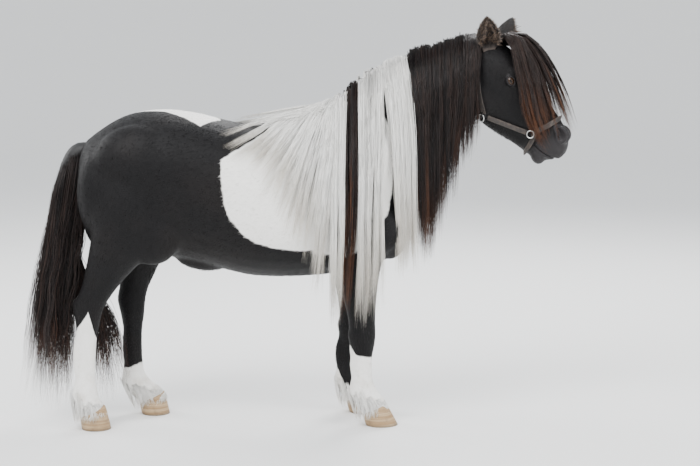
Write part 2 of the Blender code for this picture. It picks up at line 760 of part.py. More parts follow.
def around_point(tree, x, z, angle, rest):
    """The place on the head's skin seen from an axis at x, z, at an angle from the forehead."""
    ray = Vector((0, math.sin(angle), math.cos(angle)))
    hit, normal, _, _ = tree.ray_cast(Vector((x, 0, z)) + ray * 0.4, -ray)
    return hit + normal * rest, normal


def halter(head):
    """The straps of the halter, which end under its rings, and the rings."""
    tree = head_frame_tree(head)
    bands = {}
    band = []
    for k in range(22):
        angle = 2 * math.pi * k / 22
        top, middle, bottom = NOSE_BAND
        level = math.cos(angle)
        x = middle + (top - middle) * level if level > 0 else middle - (bottom - middle) * level
        band.append(around_point(tree, x, -0.045, angle, STRAP_REST))
    bands["halter_noseband"] = band, True
    for name, side in SIDES:
        band = []
        for k in range(8):
            share = 0.070 + 0.855 * k / 7
            x = CHEEK_RING[0] + (SIDE_RING[0] - CHEEK_RING[0]) * share
            z = CHEEK_RING[1] + (SIDE_RING[1] - CHEEK_RING[1]) * share
            band.append(side_point(tree, x, z, side, STRAP_REST))
        bands["halter_side_" + name] = band, False
    crown = []
    for side in (1, -1):
        rows = catmull_rom(CHEEK_PIECE, 3)
        arm = [side_point(tree, x, z, side, STRAP_REST) for x, z in rows]
        top = [around_point(tree, -0.012, -0.03, side * math.radians(a), STRAP_REST) for a in (62, 42, 22, 0)]
        crown += (arm + top) if side > 0 else (arm + top[:-1])[::-1]
    bands["halter_crown"] = crown, False
    under = [around_point(tree, 0.168, -0.080, math.radians(a), STRAP_REST) for a in range(144, 224, 12)]
    bands["halter_throat"] = under, False
    straps = {}
    for name, (band, closed) in bands.items():
        points, normals = [p for p, _ in band], [n for _, n in band]
        strap = ribbon(name, points, normals, STRAP_WIDTH, STRAP_THICK, closed)
        strap.data.transform(head_place())
        straps[name] = clear_of(strap, [head])

    metal = {}
    bm = bmesh.new()
    for piece in [head] + list(straps.values()):
        bm.from_mesh(piece.data)
    bm.transform(head_place().inverted())
    under = BVHTree.FromBMesh(bm)
    bm.free()
    for name, side in SIDES:
        for place, (x, z) in (("cheek", CHEEK_RING), ("side", SIDE_RING)):
            around = [side_point(tree, x + a, z + b, side, 0)[1]
                      for a, b in ((0, 0), (0.01, 0), (-0.01, 0), (0, 0.01), (0, -0.01))]
            normal = sum(around, Vector()).normalized()
            at = side_point(tree, x, z, side, 0)[0]
            spots = [at]
            turn = normal.to_track_quat("Z", "X").to_matrix()
            for k in range(24):
                angle = 2 * math.pi * k / 24
                out = turn @ Vector((math.cos(angle), math.sin(angle), 0))
                spots += [at + out * (RING_RADIUS + wire) for wire in (-RING_WIRE, 0, RING_WIRE)]
            heights = [0.0]
            for spot in spots:
                hit = under.ray_cast(spot + normal * 0.05, -normal, 0.10)[0]
                if hit is not None:
                    heights.append((hit - at).dot(normal))
            lift = max(heights) + RING_WIRE + 2 * GAP
            metal["halter_ring_" + place + "_" + name] = ring_at(at + normal * lift, normal)
    return straps, metal


def ring_at(place, normal):
    """A metal ring lying flat at a place in the head's frame."""
    turn = normal.to_track_quat("Z", "X").to_matrix()
    bm = bmesh.new()
    loops = []
    for k in range(12):
        angle = 2 * math.pi * k / 12
        out = Vector((math.cos(angle), math.sin(angle), 0))
        loop = []
        for j in range(4):
            swing = 2 * math.pi * j / 4
            lift = Vector((0, 0, RING_WIRE * math.sin(swing)))
            spot = out * (RING_RADIUS + RING_WIRE * math.cos(swing)) + lift
            loop.append(bm.verts.new(place + turn @ spot))
        loops.append(loop)
    for k in range(12):
        first, second = loops[k], loops[(k + 1) % 12]
        for j in range(4):
            bm.faces.new((first[j], first[(j + 1) % 4], second[(j + 1) % 4], second[j]))
    ring = object_from("ring", bm)
    ring.data.transform(head_place())
    return ring


# Locks of long hair

def lock(points, faces_to, width, thick, rings=7, twist=0.0):
    """A flat tapered lock along a path; faces_to gives the way its flat side looks at each point."""
    path = catmull_rom([tuple(p) for p in points], 6)
    normals = catmull_rom([tuple(n) for n in faces_to], 6)
    rows = np.linspace(0, len(path) - 1, rings)
    bm = bmesh.new()
    loops = []
    for i, row in enumerate(rows[:-1]):
        here = Vector(path[int(round(row))])
        after = Vector(path[min(int(round(row)) + 1, len(path) - 1)])
        before = Vector(path[max(int(round(row)) - 1, 0)])
        share = i / (rings - 1)
        along = (after - before).normalized()
        normal = Vector(normals[int(round(row))])
        normal = (normal - along * normal.dot(along)).normalized()
        normal = Matrix.Rotation(twist * share, 3, along) @ normal
        across = along.cross(normal)
        swell = (0.40 + 2.14 * share) if share < 0.28 else 1.0 - 0.62 * ((share - 0.28) / 0.72) ** 1.4
        w, t = width * swell / 2, thick * (0.50 + 0.50 * swell) / 2
        loops.append([bm.verts.new(here + a * across * w + b * normal * t)
                      for a, b in ((-1, 0), (0, -1), (1, 0), (0, 1))])
    tip = bm.verts.new(Vector(path[-1]))
    for first, second in zip(loops, loops[1:]):
        for k in range(4):
            bm.faces.new((first[k], first[(k + 1) % 4], second[(k + 1) % 4], second[k]))
    bm.faces.new(loops[0][::-1])
    for k in range(4):
        bm.faces.new((loops[-1][k], loops[-1][(k + 1) % 4], tip))
    return object_from("lock", bm)


def drape(tree, root, tip, side, rest, steps=9, wave=0.0, phase=0.0):
    """A path that falls from the crest over the side of the body and then hangs free."""
    points, faces = [], []
    reach = abs(root.y)
    for k in range(steps):
        share = k / (steps - 1)
        x = root.x + (tip.x - root.x) * share ** 0.85 + wave * math.sin(phase + 7.0 * share) * share
        z = root.z + (tip.z - root.z) * share ** 1.25
        hit = tree.ray_cast(Vector((x, side * 0.7, z)), Vector((0, -side, 0)), 0.7)[0]
        skin = abs(hit.y) if hit is not None and hit.y * side > 0 else 0.0
        drop = 0.0 if k == 0 else points[-1].z - z
        reach = max(skin + rest if k else reach, reach - 0.10 * drop)
        points.append(Vector((x, side * reach, z)))
        faces.append(Vector((0.0, side, 0.35)))
    return points, faces


def crest_point(share):
    """A place along the crest, from the withers at 0 to the poll at 1."""
    row = catmull_rom([(0.02, 0.976), (0.10, 0.992), (0.215, 1.056), (0.31, 1.106), (0.40, 1.149),
                       (0.48, 1.180), (0.545, 1.198)], 8)
    at = min(share, 0.9999) * (len(row) - 1)
    low = int(at)
    x, z = row[low] + (row[low + 1] - row[low]) * (at - low)
    return Vector((x, 0, z))


def share_of_crest(x):
    """How far along the crest a given x lies."""
    shares = np.linspace(0, 1, 200)
    return float(np.interp(x, [crest_point(s).x for s in shares], shares))


def front_region(grow):
    """A slab over the front part of the mane, bounded behind by a falling line."""
    outline = [Vector((x + grow, 0, z)) for x, z in MANE_SPLIT]
    outline += [Vector((1.2, 0, 0.30)), Vector((1.2, 0, 1.40))]
    rings = [[p + Vector((0, y, 0)) for p in outline] for y in (-0.6, 0.6)]
    bm = bmesh.new()
    loops = [[bm.verts.new(p) for p in ring] for ring in rings]
    count = len(outline)
    for k in range(count):
        bm.faces.new((loops[0][k], loops[0][(k + 1) % count], loops[1][(k + 1) % count], loops[1][k]))
    for loop in loops:
        bm.faces.new(loop)
    bmesh.ops.triangulate(bm, faces=bm.faces)
    return object_from("front", bm)


def crest_core(side):
    """The roots of the mane along the crest, on one side of the middle."""
    rings = []
    for k in range(10):
        share = k / 9
        here = crest_point(share)
        ahead = crest_point(min(share + 0.02, 1)) - crest_point(max(share - 0.02, 0))
        up = Vector((-ahead.z, 0, ahead.x)).normalized()
        height = 0.047 * math.sin(math.pi * min(max(share * 0.95 + 0.06, 0.05), 0.95)) ** 0.5
        ring = []
        for out, lift in ((GAP / 2, -0.6), (0.045, -0.9), (0.034, 0.15), (0.014, 0.85), (GAP / 2, 1.0)):
            ring.append(here + Vector((0, side * out, 0)) + up * (height * lift))
        rings.append(ring)
    return loft("core", rings)


MANE_TIPS = {
    # share along each list: root x, tip x, tip z
    "dark": ((0.322, 0.352, 0.560), (0.345, 0.366, 0.535), (0.375, 0.378, 0.520), (0.405, 0.396, 0.545),
             (0.435, 0.415, 0.620), (0.465, 0.440, 0.700), (0.495, 0.475, 0.775), (0.518, 0.515, 0.850)),
    "white": ((0.110, 0.070, 0.330), (0.135, 0.100, 0.320), (0.160, 0.122, 0.350), (0.185, 0.160, 0.300),
              (0.210, 0.195, 0.320), (0.232, 0.222, 0.405), (0.258, 0.268, 0.480), (0.282, 0.318, 0.520),
              (0.302, 0.344, 0.505)),
    "withers": (
        (0.050, -0.255, 0.870), (0.035, -0.215, 0.850), (0.065, -0.175, 0.790), (0.080, -0.120, 0.720),
        (0.095, -0.060, 0.640), (0.110, 0.000, 0.540), (0.120, 0.035, 0.430)),
}


def mane_locks(rows, count, side, tree, rng, shorten=0.0, lift=0.0):
    """Locks whose roots and tips follow rows of root x, tip x, tip z."""
    width, thick = LOCKS["mane"]
    rows = np.array(rows)
    pieces = []
    for k in range(count):
        at = (len(rows) - 1) * k / max(count - 1, 1)
        low = min(int(at), len(rows) - 2)
        root_x, tip_x, tip_z = rows[low] + (rows[low + 1] - rows[low]) * (at - low)
        layer = k % 3
        off = Vector((0, side * (0.022 - 0.006 * layer), 0.012 + lift + 0.012 * layer))
        root = crest_point(share_of_crest(root_x)) + off
        tip_z = tip_z + shorten * (root.z - tip_z) + rng.uniform(-0.02, 0.02)
        tip = Vector((tip_x + rng.uniform(-0.006, 0.006), 0, tip_z))
        rest = HAIR_REST + LAYER_STEP * layer
        points, faces = drape(tree, root, tip, side, rest, 9, 0.006, rng.uniform(0, 6))
        pieces.append(lock(points, faces, width * rng.uniform(0.9, 1.15), thick, 7))
    return pieces


def build_mane(tree, rng):
    """The mane, parted at the crest and where its colour changes."""
    nodes = {}
    plans = {
        -1: (("dark", 13, 0.0), ("white", 12, 0.0), ("withers", 7, 0.0)),
        1: (("dark", 7, 0.55), ("white", 4, 0.72), ("withers", 3, 0.45)),
    }
    for side, plan in plans.items():
        pieces = []
        for kind, count, shorten in plan:
            lift = WITHERS_LIFT if kind == "withers" else 0.0
            pieces += mane_locks(MANE_TIPS[kind], count, side, tree, rng, shorten, lift)
        whole = boolean(crest_core(side), pieces, "UNION")
        name = "mane_" if side < 0 else "mane_far_"
        dark = copy_of(whole, "dark")
        nodes[name + "dark"] = boolean(dark, [front_region(GAP)], "INTERSECT")
        nodes[name + "white"] = boolean(whole, [front_region(0.0)], "DIFFERENCE")
    return nodes


# Paths of the forelock in the head's frame: over the near cheek, over the middle, over the far cheek
FORELOCK_PATHS = (
    ((0.012, -0.012, 0.040), (0.050, -0.050, 0.078), (0.122, -0.084, 0.046), (0.198, -0.094, 0.008),
     (0.290, -0.086, -0.042), (0.402, -0.068, -0.062)),
    ((0.012, -0.008, 0.044), (0.052, -0.034, 0.098), (0.120, -0.066, 0.090), (0.205, -0.080, 0.060),
     (0.295, -0.074, 0.018), (0.385, -0.066, -0.022)),
    ((0.012, 0.000, 0.046), (0.052, 0.000, 0.106), (0.125, 0.004, 0.124), (0.205, 0.010, 0.119),
     (0.310, 0.014, 0.096), (0.412, 0.018, 0.058)),
    ((0.012, 0.008, 0.044), (0.052, 0.034, 0.098), (0.120, 0.062, 0.104), (0.205, 0.076, 0.086),
     (0.300, 0.078, 0.054), (0.398, 0.068, 0.026)),
    ((0.012, 0.012, 0.040), (0.050, 0.048, 0.078), (0.120, 0.082, 0.052), (0.200, 0.090, 0.014),
     (0.290, 0.082, -0.028), (0.375, 0.070, -0.042)),
)
# Places across the forelock where a lock lies, 0 near cheek to 4 far cheek, and its layer
FORELOCK_ROWS = ((0.00, 0), (0.30, 1), (0.62, 0), (0.90, 1), (1.45, 0), (1.80, 1), (2.10, 2), (2.30, 0),
                 (2.62, 1), (2.95, 2), (3.25, 0), (3.60, 1), (4.00, 0))


def build_forelock(rng):
    """Locks that spring from the poll, arch over the forehead and fall on both sides of the face."""
    width, thick = LOCKS["forelock"]
    place = head_place()
    paths = np.array(FORELOCK_PATHS)
    core = ellipsoid("core", (0.012, 0.0, 0.046), (0.030, 0.026, 0.026), 10, 2)
    core.data.transform(place)
    pieces = []
    for at, layer in FORELOCK_ROWS:
        low = min(int(at), len(paths) - 2)
        rows = paths[low] + (paths[low + 1] - paths[low]) * (at - low)
        length = rng.uniform(0.94, 1.03)
        lift = 0.011 * layer - 0.009
        points, faces = [], []
        for k, (x, y, z) in enumerate(rows):
            out = Vector((0.1, 0.0, 1.0)) if abs(y) < 0.002 else Vector((0.1, 12 * y, 1.0))
            out.normalize()
            spot = Vector((0.012 + (x - 0.012) * length, y, z)) + out * (lift * min(1.0, k))
            points.append(place @ spot)
            faces.append(place.to_3x3() @ out)
        pieces.append(lock(points, faces, width * rng.uniform(0.9, 1.1), thick, 7))
    return boolean(core, pieces, "UNION")


TAIL_CORE = ((-0.660, 0.858, 0.034), (-0.708, 0.864, 0.036), (-0.736, 0.830, 0.037), (-0.754, 0.765, 0.037),
             (-0.768, 0.680, 0.035), (-0.778, 0.590, 0.030), (-0.784, 0.510, 0.018))
# Rings of tail locks: how far round the dock each starts (0 behind, 180 in front), height, tip x, y, z
TAIL_ROWS = (
    (0, 0.20, -0.886, 0.000, 0.150), (22, 0.30, -0.888, 0.042, 0.080), (-22, 0.30, -0.888, -0.044, 0.090),
    (45, 0.22, -0.862, 0.082, 0.055), (-45, 0.22, -0.866, -0.080, 0.060), (8, 0.50, -0.852, 0.014, 0.044),
    (70, 0.34, -0.824, 0.106, 0.070), (-70, 0.34, -0.826, -0.104, 0.064), (-20, 0.60, -0.830, -0.034, 0.042),
    (30, 0.60, -0.820, 0.050, 0.044), (95, 0.26, -0.790, 0.094, 0.052), (-95, 0.26, -0.792, -0.090, 0.056),
    (-55, 0.48, -0.800, -0.062, 0.044), (62, 0.48, -0.796, 0.066, 0.048), (180, 0.70, -0.776, 0.006, 0.050),
    (-130, 0.40, -0.764, -0.044, 0.056), (130, 0.40, -0.762, 0.046, 0.054),
)
# Locks that swing forward between the hind legs: start y, tip x, y, z
TAIL_FORWARD = (
    (-0.026, -0.668, -0.030, 0.070), (-0.010, -0.640, -0.012, 0.062), (0.006, -0.612, 0.006, 0.074),
    (0.020, -0.655, 0.026, 0.090), (0.030, -0.585, 0.022, 0.104),
)


def build_tail(rng):
    """The dock with wavy locks that hang from it nearly to the fetlocks."""
    width, thick = LOCKS["tail"]
    rings = []
    row = catmull_rom(TAIL_CORE, 2)
    for i, (x, z, radius) in enumerate(row):
        before, after = row[max(i - 1, 0)], row[min(i + 1, len(row) - 1)]
        along = Vector((after[0] - before[0], 0, after[1] - before[1])).normalized()
        out = Vector((along.z, 0, -along.x))
        rings.append([Vector((x, 0, z)) + out * (radius * math.cos(a)) + Vector((0, radius * math.sin(a), 0))
                      for a in (2 * math.pi * k / 8 for k in range(8))])
    core = loft("dock", rings)
    pieces = []
    for angle, start, tx, ty, tz in TAIL_ROWS:
        turn = math.radians(angle)
        out = Vector((-math.cos(turn), math.sin(turn), 0))
        x, z, radius = row[int(start * (len(row) - 1))]
        tip = Vector((tx, ty, tz))
        root = Vector((x, 0, z)) + out * radius * 0.7
        bulge = Vector((x - 0.012, 0, z - 0.11)) + Vector((out.x * 0.038, out.y * 0.050, 0))
        middle = bulge.lerp(tip, 0.45) + Vector((-0.012 + rng.uniform(-0.008, 0.008), 0, 0))
        near = bulge.lerp(tip, 0.78) + Vector((rng.uniform(-0.012, 0.006), rng.uniform(-0.006, 0.006), 0))
        points = [root, bulge, middle, near, tip]
        faces = [(out + Vector((-0.3, 0, 0.2)))] * len(points)
        pieces.append(lock(points, faces, width * rng.uniform(0.9, 1.15), thick, 7))
    return boolean(core, pieces, "UNION")


def build_tail_front(rng):
    """The locks that swing forward between the hind legs, rooted against the front of the dock."""
    width, thick = LOCKS["tail"]
    core = ellipsoid("core", (-0.738, 0.0, 0.702), (0.027, 0.032, 0.076), 6, 2)
    pieces = []
    for sy, tx, ty, tz in TAIL_FORWARD:
        spots = ((-0.750, sy, 0.740), (-0.748, sy * 1.3, 0.600), (-0.722, sy * 1.2, 0.470),
                 (-0.655 + (tx + 0.63) * 0.6, ty, 0.330), (tx - 0.008, ty, 0.190), (tx, ty, tz))
        points = [Vector(spot) for spot in spots]
        faces = [Vector((0, 1, 0.0))] * len(points)
        pieces.append(lock(points, faces, width * rng.uniform(0.9, 1.1), thick * 0.8, 7))
    return boolean(core, pieces, "UNION")


def feather(kind, name, side, rng):
    """Long hair behind the fetlock that falls round the heel."""
    width, thick = LOCKS["feather"]
    joints = FORE_JOINTS if kind == "fore" else HIND_JOINTS
    fetlock, coronet = Vector(joints[name][3]), Vector(joints[name][4])
    fetlock.y *= side
    coronet.y *= side
    pieces = []
    for k in range(6):
        angle = math.radians(-72 + 144 * k / 5)
        out = Vector((-math.cos(angle), 0.85 * math.sin(angle), 0))
        root = fetlock + out * 0.022 + Vector((0, 0, 0.030 + 0.010 * math.cos(angle)))
        knee = fetlock.lerp(coronet, 0.35) + out * 0.052
        tip = coronet + out * (0.060 if k % 2 else 0.054)
        tip.z = rng.uniform(0.012, 0.024)
        middle = knee.lerp(tip, 0.55) + out * 0.005
        pieces.append(lock([root, knee, middle, tip], [out] * 4, width, thick, 5))
    return pieces


# Materials

COLOURS = {
    "black": (0.018, 0.015, 0.014),
    "white": (0.80, 0.77, 0.70),
    "brown": (0.060, 0.032, 0.020),
    "hoof": (0.42, 0.30, 0.17),
    "eye": (0.020, 0.012, 0.008),
    "leather": (0.035, 0.028, 0.025),
    "steel": (0.62, 0.62, 0.60),
}


def paint(obj, colour, roughness, metallic=0.0):
    """Gives an object a plain material of its own."""
    material = bpy.data.materials.new(obj.name)
    material.use_nodes = True
    shader = material.node_tree.nodes["Principled BSDF"]
    shader.inputs["Base Color"].default_value = (*COLOURS[colour], 1)
    shader.inputs["Roughness"].default_value = roughness
    shader.inputs["Metallic"].default_value = metallic
    obj.data.materials.clear()
    obj.data.materials.append(material)


def finish(obj, name, colour, roughness, metallic=0.0):
    """Names a piece and gives it faces that point out and a material."""
    obj.name = name
    obj.data.name = name
    bm = bmesh.new()
    bm.from_mesh(obj.data)
    bmesh.ops.triangulate(bm, faces=bm.faces)
    bmesh.ops.recalc_face_normals(bm, faces=bm.faces)
    bm.to_mesh(obj.data)
    bm.free()
    paint(obj, colour, roughness, metallic)
    return obj


def build():
    """Every node of the pony."""
    rng = random.Random(SEED)
    flesh = build_flesh()
    nodes = part_flesh(flesh)
    remove(flesh)
    detail_head(nodes["head"])
    done = []
    for name, side in SIDES:
        piece = ear(name, side)
        done.append(finish(clear_of(piece, [nodes["head"]]), "ear_" + name, "black", 0.6))
        done.append(finish(eye_ball("eye", side, EYE_RADIUS), "eye_" + name, "eye", 0.08))
    ears = [obj for obj in done if obj.name.startswith("ear")]
    straps, metal = halter(nodes["head"])
    for name, strap in straps.items():
        done.append(finish(strap, name, "leather", 0.45))
    for name, ring in metal.items():
        done.append(finish(ring, name, "steel", 0.25, 1.0))
    hooves = {}
    for kind in ("fore", "hind"):
        for name, side in SIDES:
            hooves[kind + name] = hoof(kind, name, side)
            leg = nodes["leg_" + kind + "_" + name]
            boolean(leg, feather(kind, name, side, rng), "UNION")
            clear_of(leg, [hooves[kind + name]])
            done.append(finish(hooves[kind + name], "hoof_" + kind + "_" + name, "hoof", 0.5))
    solid = [nodes["torso"], nodes["neck"], nodes["head"]]
    under = solid + ears + list(straps.values()) + list(metal.values())
    tree = surface_tree(under)
    for name, piece in build_mane(tree, rng).items():
        colour = "black" if "dark" in name else "white"
        done.append(finish(clear_of(piece, under), name, colour, 0.55))
    mane = [obj for obj in done if obj.name.startswith("mane")]
    forelock = clear_of(build_forelock(rng), under + mane)
    done.append(finish(forelock, "forelock", "brown", 0.55))
    legs = [nodes["leg_hind_right"], nodes["leg_hind_left"]]
    tail = finish(clear_of(build_tail(rng), [nodes["torso"]] + legs), "tail", "black", 0.55)
    front = finish(build_tail_front(rng), "tail_front", "black", 0.55)
    clear_of(front, [nodes["torso"], tail] + legs)
    clear_of(front, [tail], GAP)  # once more, where the grown tail folded over itself
    done += [tail, finish(front, "tail_front", "black", 0.55)]
    for name, piece in nodes.items():
        done.append(finish(piece, name, "black", 0.6))
    corners = np.array([v.co[:] for obj in done for v in obj.data.vertices])
    low, high = corners.min(axis=0), corners.max(axis=0)
    shift = Vector((-(low[0] + high[0]) / 2, -(low[1] + high[1]) / 2, -low[2]))
    for obj in done:
        obj.data.transform(Matrix.Translation(shift))
    return shift


clear_scene()
SHIFT_USED = build()
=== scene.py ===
"""The pony as it looks: skin, coat, long hair, eyes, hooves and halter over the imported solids."""

import math

import bmesh
import bpy
import numpy as np
from mathutils import Matrix, Vector
from mathutils.bvhtree import BVHTree


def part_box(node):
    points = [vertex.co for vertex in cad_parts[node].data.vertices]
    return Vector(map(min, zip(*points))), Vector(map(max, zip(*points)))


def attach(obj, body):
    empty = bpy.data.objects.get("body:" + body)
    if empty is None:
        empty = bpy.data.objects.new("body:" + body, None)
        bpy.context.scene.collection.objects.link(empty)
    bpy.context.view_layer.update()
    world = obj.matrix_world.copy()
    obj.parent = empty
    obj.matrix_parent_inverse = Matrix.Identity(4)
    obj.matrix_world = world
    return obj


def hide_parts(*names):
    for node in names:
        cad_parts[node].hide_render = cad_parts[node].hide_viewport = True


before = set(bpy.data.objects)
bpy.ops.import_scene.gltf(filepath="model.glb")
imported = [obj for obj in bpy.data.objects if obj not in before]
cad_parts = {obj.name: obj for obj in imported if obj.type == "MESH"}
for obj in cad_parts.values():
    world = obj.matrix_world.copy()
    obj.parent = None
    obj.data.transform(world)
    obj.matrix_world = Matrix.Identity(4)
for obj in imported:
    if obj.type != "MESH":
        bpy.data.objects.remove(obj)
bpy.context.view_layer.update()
RNG = np.random.default_rng(5)
WITHERS_HEIGHT = 0.985
VOXEL_BODY = 0.0050
VOXEL_FINE = 0.0045

# Trunk: top x, z; bottom x, z; half width; waist, the widest level as a share of the height; squareness
TRUNK = (
    (-0.722, 0.800, -0.716, 0.700, 0.050, 0.50, 2.0),
    (-0.704, 0.880, -0.694, 0.600, 0.115, 0.50, 2.1),
    (-0.652, 0.930, -0.650, 0.550, 0.158, 0.55, 2.2),
    (-0.560, 0.981, -0.550, 0.530, 0.188, 0.58, 2.2),
    (-0.450, 0.998, -0.440, 0.530, 0.198, 0.60, 2.2),
    (-0.340, 0.986, -0.320, 0.505, 0.202, 0.57, 2.2),
    (-0.220, 0.957, -0.190, 0.471, 0.214, 0.52, 2.2),
    (-0.100, 0.951, -0.070, 0.464, 0.217, 0.48, 2.2),
    (0.000, 0.972, 0.040, 0.468, 0.205, 0.45, 2.1),
    (0.075, WITHERS_HEIGHT, 0.130, 0.478, 0.188, 0.42, 2.1),
    (0.140, 0.965, 0.210, 0.500, 0.172, 0.42, 2.1),
    (0.200, 0.900, 0.265, 0.520, 0.150, 0.42, 2.1),
    (0.256, 0.790, 0.304, 0.552, 0.118, 0.45, 2.0),
    (0.288, 0.700, 0.320, 0.600, 0.050, 0.50, 2.0),
)

# Neck: crest x, z; underline x, z; half width; waist; squareness
NECK = (
    (-0.060, 0.945, 0.220, 0.560, 0.150, 0.40, 2.0),
    (0.030, 0.980, 0.305, 0.620, 0.152, 0.40, 2.0),
    (0.120, 1.015, 0.345, 0.710, 0.134, 0.40, 1.9),
    (0.215, 1.062, 0.385, 0.800, 0.113, 0.42, 1.9),
    (0.310, 1.112, 0.430, 0.880, 0.097, 0.44, 1.9),
    (0.400, 1.155, 0.475, 0.942, 0.087, 0.46, 1.9),
    (0.480, 1.184, 0.530, 0.985, 0.080, 0.48, 2.0),
    (0.550, 1.195, 0.580, 1.020, 0.068, 0.50, 2.0),
)

# Head, in its own frame: +X down the face, +Z out of the forehead, origin at the poll
POLL = Vector((0.560, 0.0, 1.198))
HEAD_PITCH = math.radians(50)  # face below the horizontal
HEAD_YAW = math.radians(-12)  # the muzzle turns to the right side
SKULL = (
    (-0.035, 0.010, -0.035, -0.060, 0.045, 0.50, 2.0),
    (0.000, 0.034, 0.000, -0.100, 0.062, 0.55, 2.1),
    (0.050, 0.052, 0.050, -0.132, 0.076, 0.60, 2.2),
    (0.100, 0.060, 0.100, -0.152, 0.083, 0.64, 2.3),
    (0.150, 0.059, 0.148, -0.162, 0.080, 0.64, 2.4),
    (0.200, 0.053, 0.192, -0.160, 0.069, 0.64, 2.4),
    (0.250, 0.046, 0.236, -0.148, 0.058, 0.62, 2.3),
    (0.300, 0.040, 0.278, -0.134, 0.050, 0.60, 2.2),
    (0.340, 0.036, 0.315, -0.124, 0.047, 0.58, 2.2),
    (0.380, 0.028, 0.352, -0.116, 0.049, 0.56, 2.2),
    (0.408, 0.012, 0.384, -0.104, 0.045, 0.54, 2.2),
    (0.426, -0.010, 0.406, -0.086, 0.033, 0.52, 2.0),
    (0.432, -0.026, 0.418, -0.066, 0.015, 0.50, 2.0),
)
EYE_CENTRE = Vector((0.143, 0.0688, -0.003))  # left eye, in the head's frame
EYE_RADIUS = 0.0190
NOSTRIL = Vector((0.371, 0.045, 0.010))

# Legs: joint places x, y, z for the right side; the left has its own x and z
SIDES = (("right", -1), ("left", 1))
HIND_STANCE = 0.106  # hoof centre from the midline
FORE_STANCE = 0.096
HIND_JOINTS = {
    "right": ((-0.530, 0.100, 0.820), (-0.580, 0.118, 0.600), (-0.686, HIND_STANCE, 0.365),
              (-0.699, HIND_STANCE, 0.115), (-0.675, HIND_STANCE, 0.056)),
    "left": ((-0.510, 0.100, 0.820), (-0.515, 0.118, 0.600), (-0.560, HIND_STANCE, 0.355),
             (-0.558, HIND_STANCE, 0.113), (-0.499, HIND_STANCE, 0.056)),
}
FORE_JOINTS = {
    "right": ((0.165, 0.105, 0.720), (0.155, 0.106, 0.520), (0.171, 0.100, 0.282),
              (0.172, FORE_STANCE, 0.115), (0.212, FORE_STANCE, 0.056)),
    "left": ((0.165, 0.105, 0.720), (0.150, 0.106, 0.520), (0.148, 0.100, 0.280),
             (0.134, FORE_STANCE, 0.113), (0.170, FORE_STANCE, 0.056)),
}
# Girths: joint above, share of the way to the next joint, reach in front, reach behind, half width
HIND_GIRTHS = (
    (0, 0.00, 0.130, 0.145, 0.085),
    (0, 0.55, 0.120, 0.130, 0.086),
    (1, 0.00, 0.100, 0.100, 0.074),
    (1, 0.40, 0.066, 0.072, 0.055),
    (1, 0.72, 0.045, 0.056, 0.038),
    (1, 0.94, 0.043, 0.054, 0.036),
    (2, 0.12, 0.042, 0.041, 0.036),
    (2, 0.35, 0.034, 0.034, 0.028),
    (2, 0.78, 0.034, 0.034, 0.028),
    (2, 0.97, 0.043, 0.043, 0.036),
    (3, 0.45, 0.038, 0.045, 0.037),
    (3, 0.90, 0.041, 0.046, 0.043),
    (3, 1.45, 0.040, 0.043, 0.042),
)
FORE_GIRTHS = (
    (0, 0.00, 0.100, 0.110, 0.062),
    (0, 0.60, 0.095, 0.105, 0.066),
    (1, 0.00, 0.082, 0.085, 0.062),
    (1, 0.35, 0.062, 0.060, 0.050),
    (1, 0.75, 0.049, 0.044, 0.039),
    (1, 0.97, 0.047, 0.044, 0.041),
    (2, 0.18, 0.042, 0.042, 0.037),
    (2, 0.40, 0.035, 0.035, 0.030),
    (2, 0.75, 0.035, 0.036, 0.030),
    (2, 0.97, 0.043, 0.045, 0.037),
    (3, 0.45, 0.039, 0.047, 0.038),
    (3, 0.90, 0.042, 0.047, 0.044),
    (3, 1.45, 0.040, 0.043, 0.042),
)

# Muscles and bony points that stand out of the lofts: centre, radii, turn about Y in degrees; left side
MUSCLES = (
    ((-0.500, 0.108, 0.820), (0.170, 0.090, 0.140), 10),  # haunch
    ((-0.636, 0.088, 0.740), (0.082, 0.078, 0.150), 0),  # buttock
    ((-0.492, 0.120, 0.630), (0.100, 0.064, 0.115), -20),  # stifle
    ((0.150, 0.118, 0.760), (0.085, 0.066, 0.190), 25),  # shoulder
    ((0.215, 0.112, 0.620), (0.095, 0.062, 0.080), -20),  # upper arm
    ((0.120, 0.120, 0.545), (0.070, 0.050, 0.085), 0),  # elbow
    ((0.258, 0.070, 0.612), (0.060, 0.070, 0.090), 0),  # breast
)
# The same for the legs: joint, offset from it, radii, turn; offsets and radii of the left leg
LEG_FORMS = {
    "hind": ((2, (-0.034, 0.0, 0.014), (0.016, 0.017, 0.040), -8),  # point of the hock
             (2, (0.006, 0.0, -0.014), (0.034, 0.036, 0.048), 0),  # hock
             (3, (-0.020, 0.0, -0.004), (0.024, 0.028, 0.027), 0),  # back of the fetlock
             (3, (-0.010, 0.0, 0.110), (0.030, 0.019, 0.100), 0)),  # tendon
    "fore": ((1, (-0.070, 0.0, 0.045), (0.028, 0.030, 0.045), 0),  # point of the elbow
             (2, (0.004, 0.0, 0.000), (0.040, 0.040, 0.044), 0),  # knee
             (2, (-0.036, 0.0, 0.008), (0.014, 0.018, 0.026), 0),  # bone behind the knee
             (2, (-0.026, 0.0, -0.034), (0.018, 0.018, 0.044), 0),  # back of the cannon
             (3, (-0.022, 0.0, -0.004), (0.024, 0.028, 0.027), 0),  # back of the fetlock
             (3, (-0.012, 0.0, 0.080), (0.032, 0.019, 0.072), 0)),  # tendon
}
SHEATH = ((-0.330, 0.0, 0.520), (0.090, 0.045, 0.038), 8)
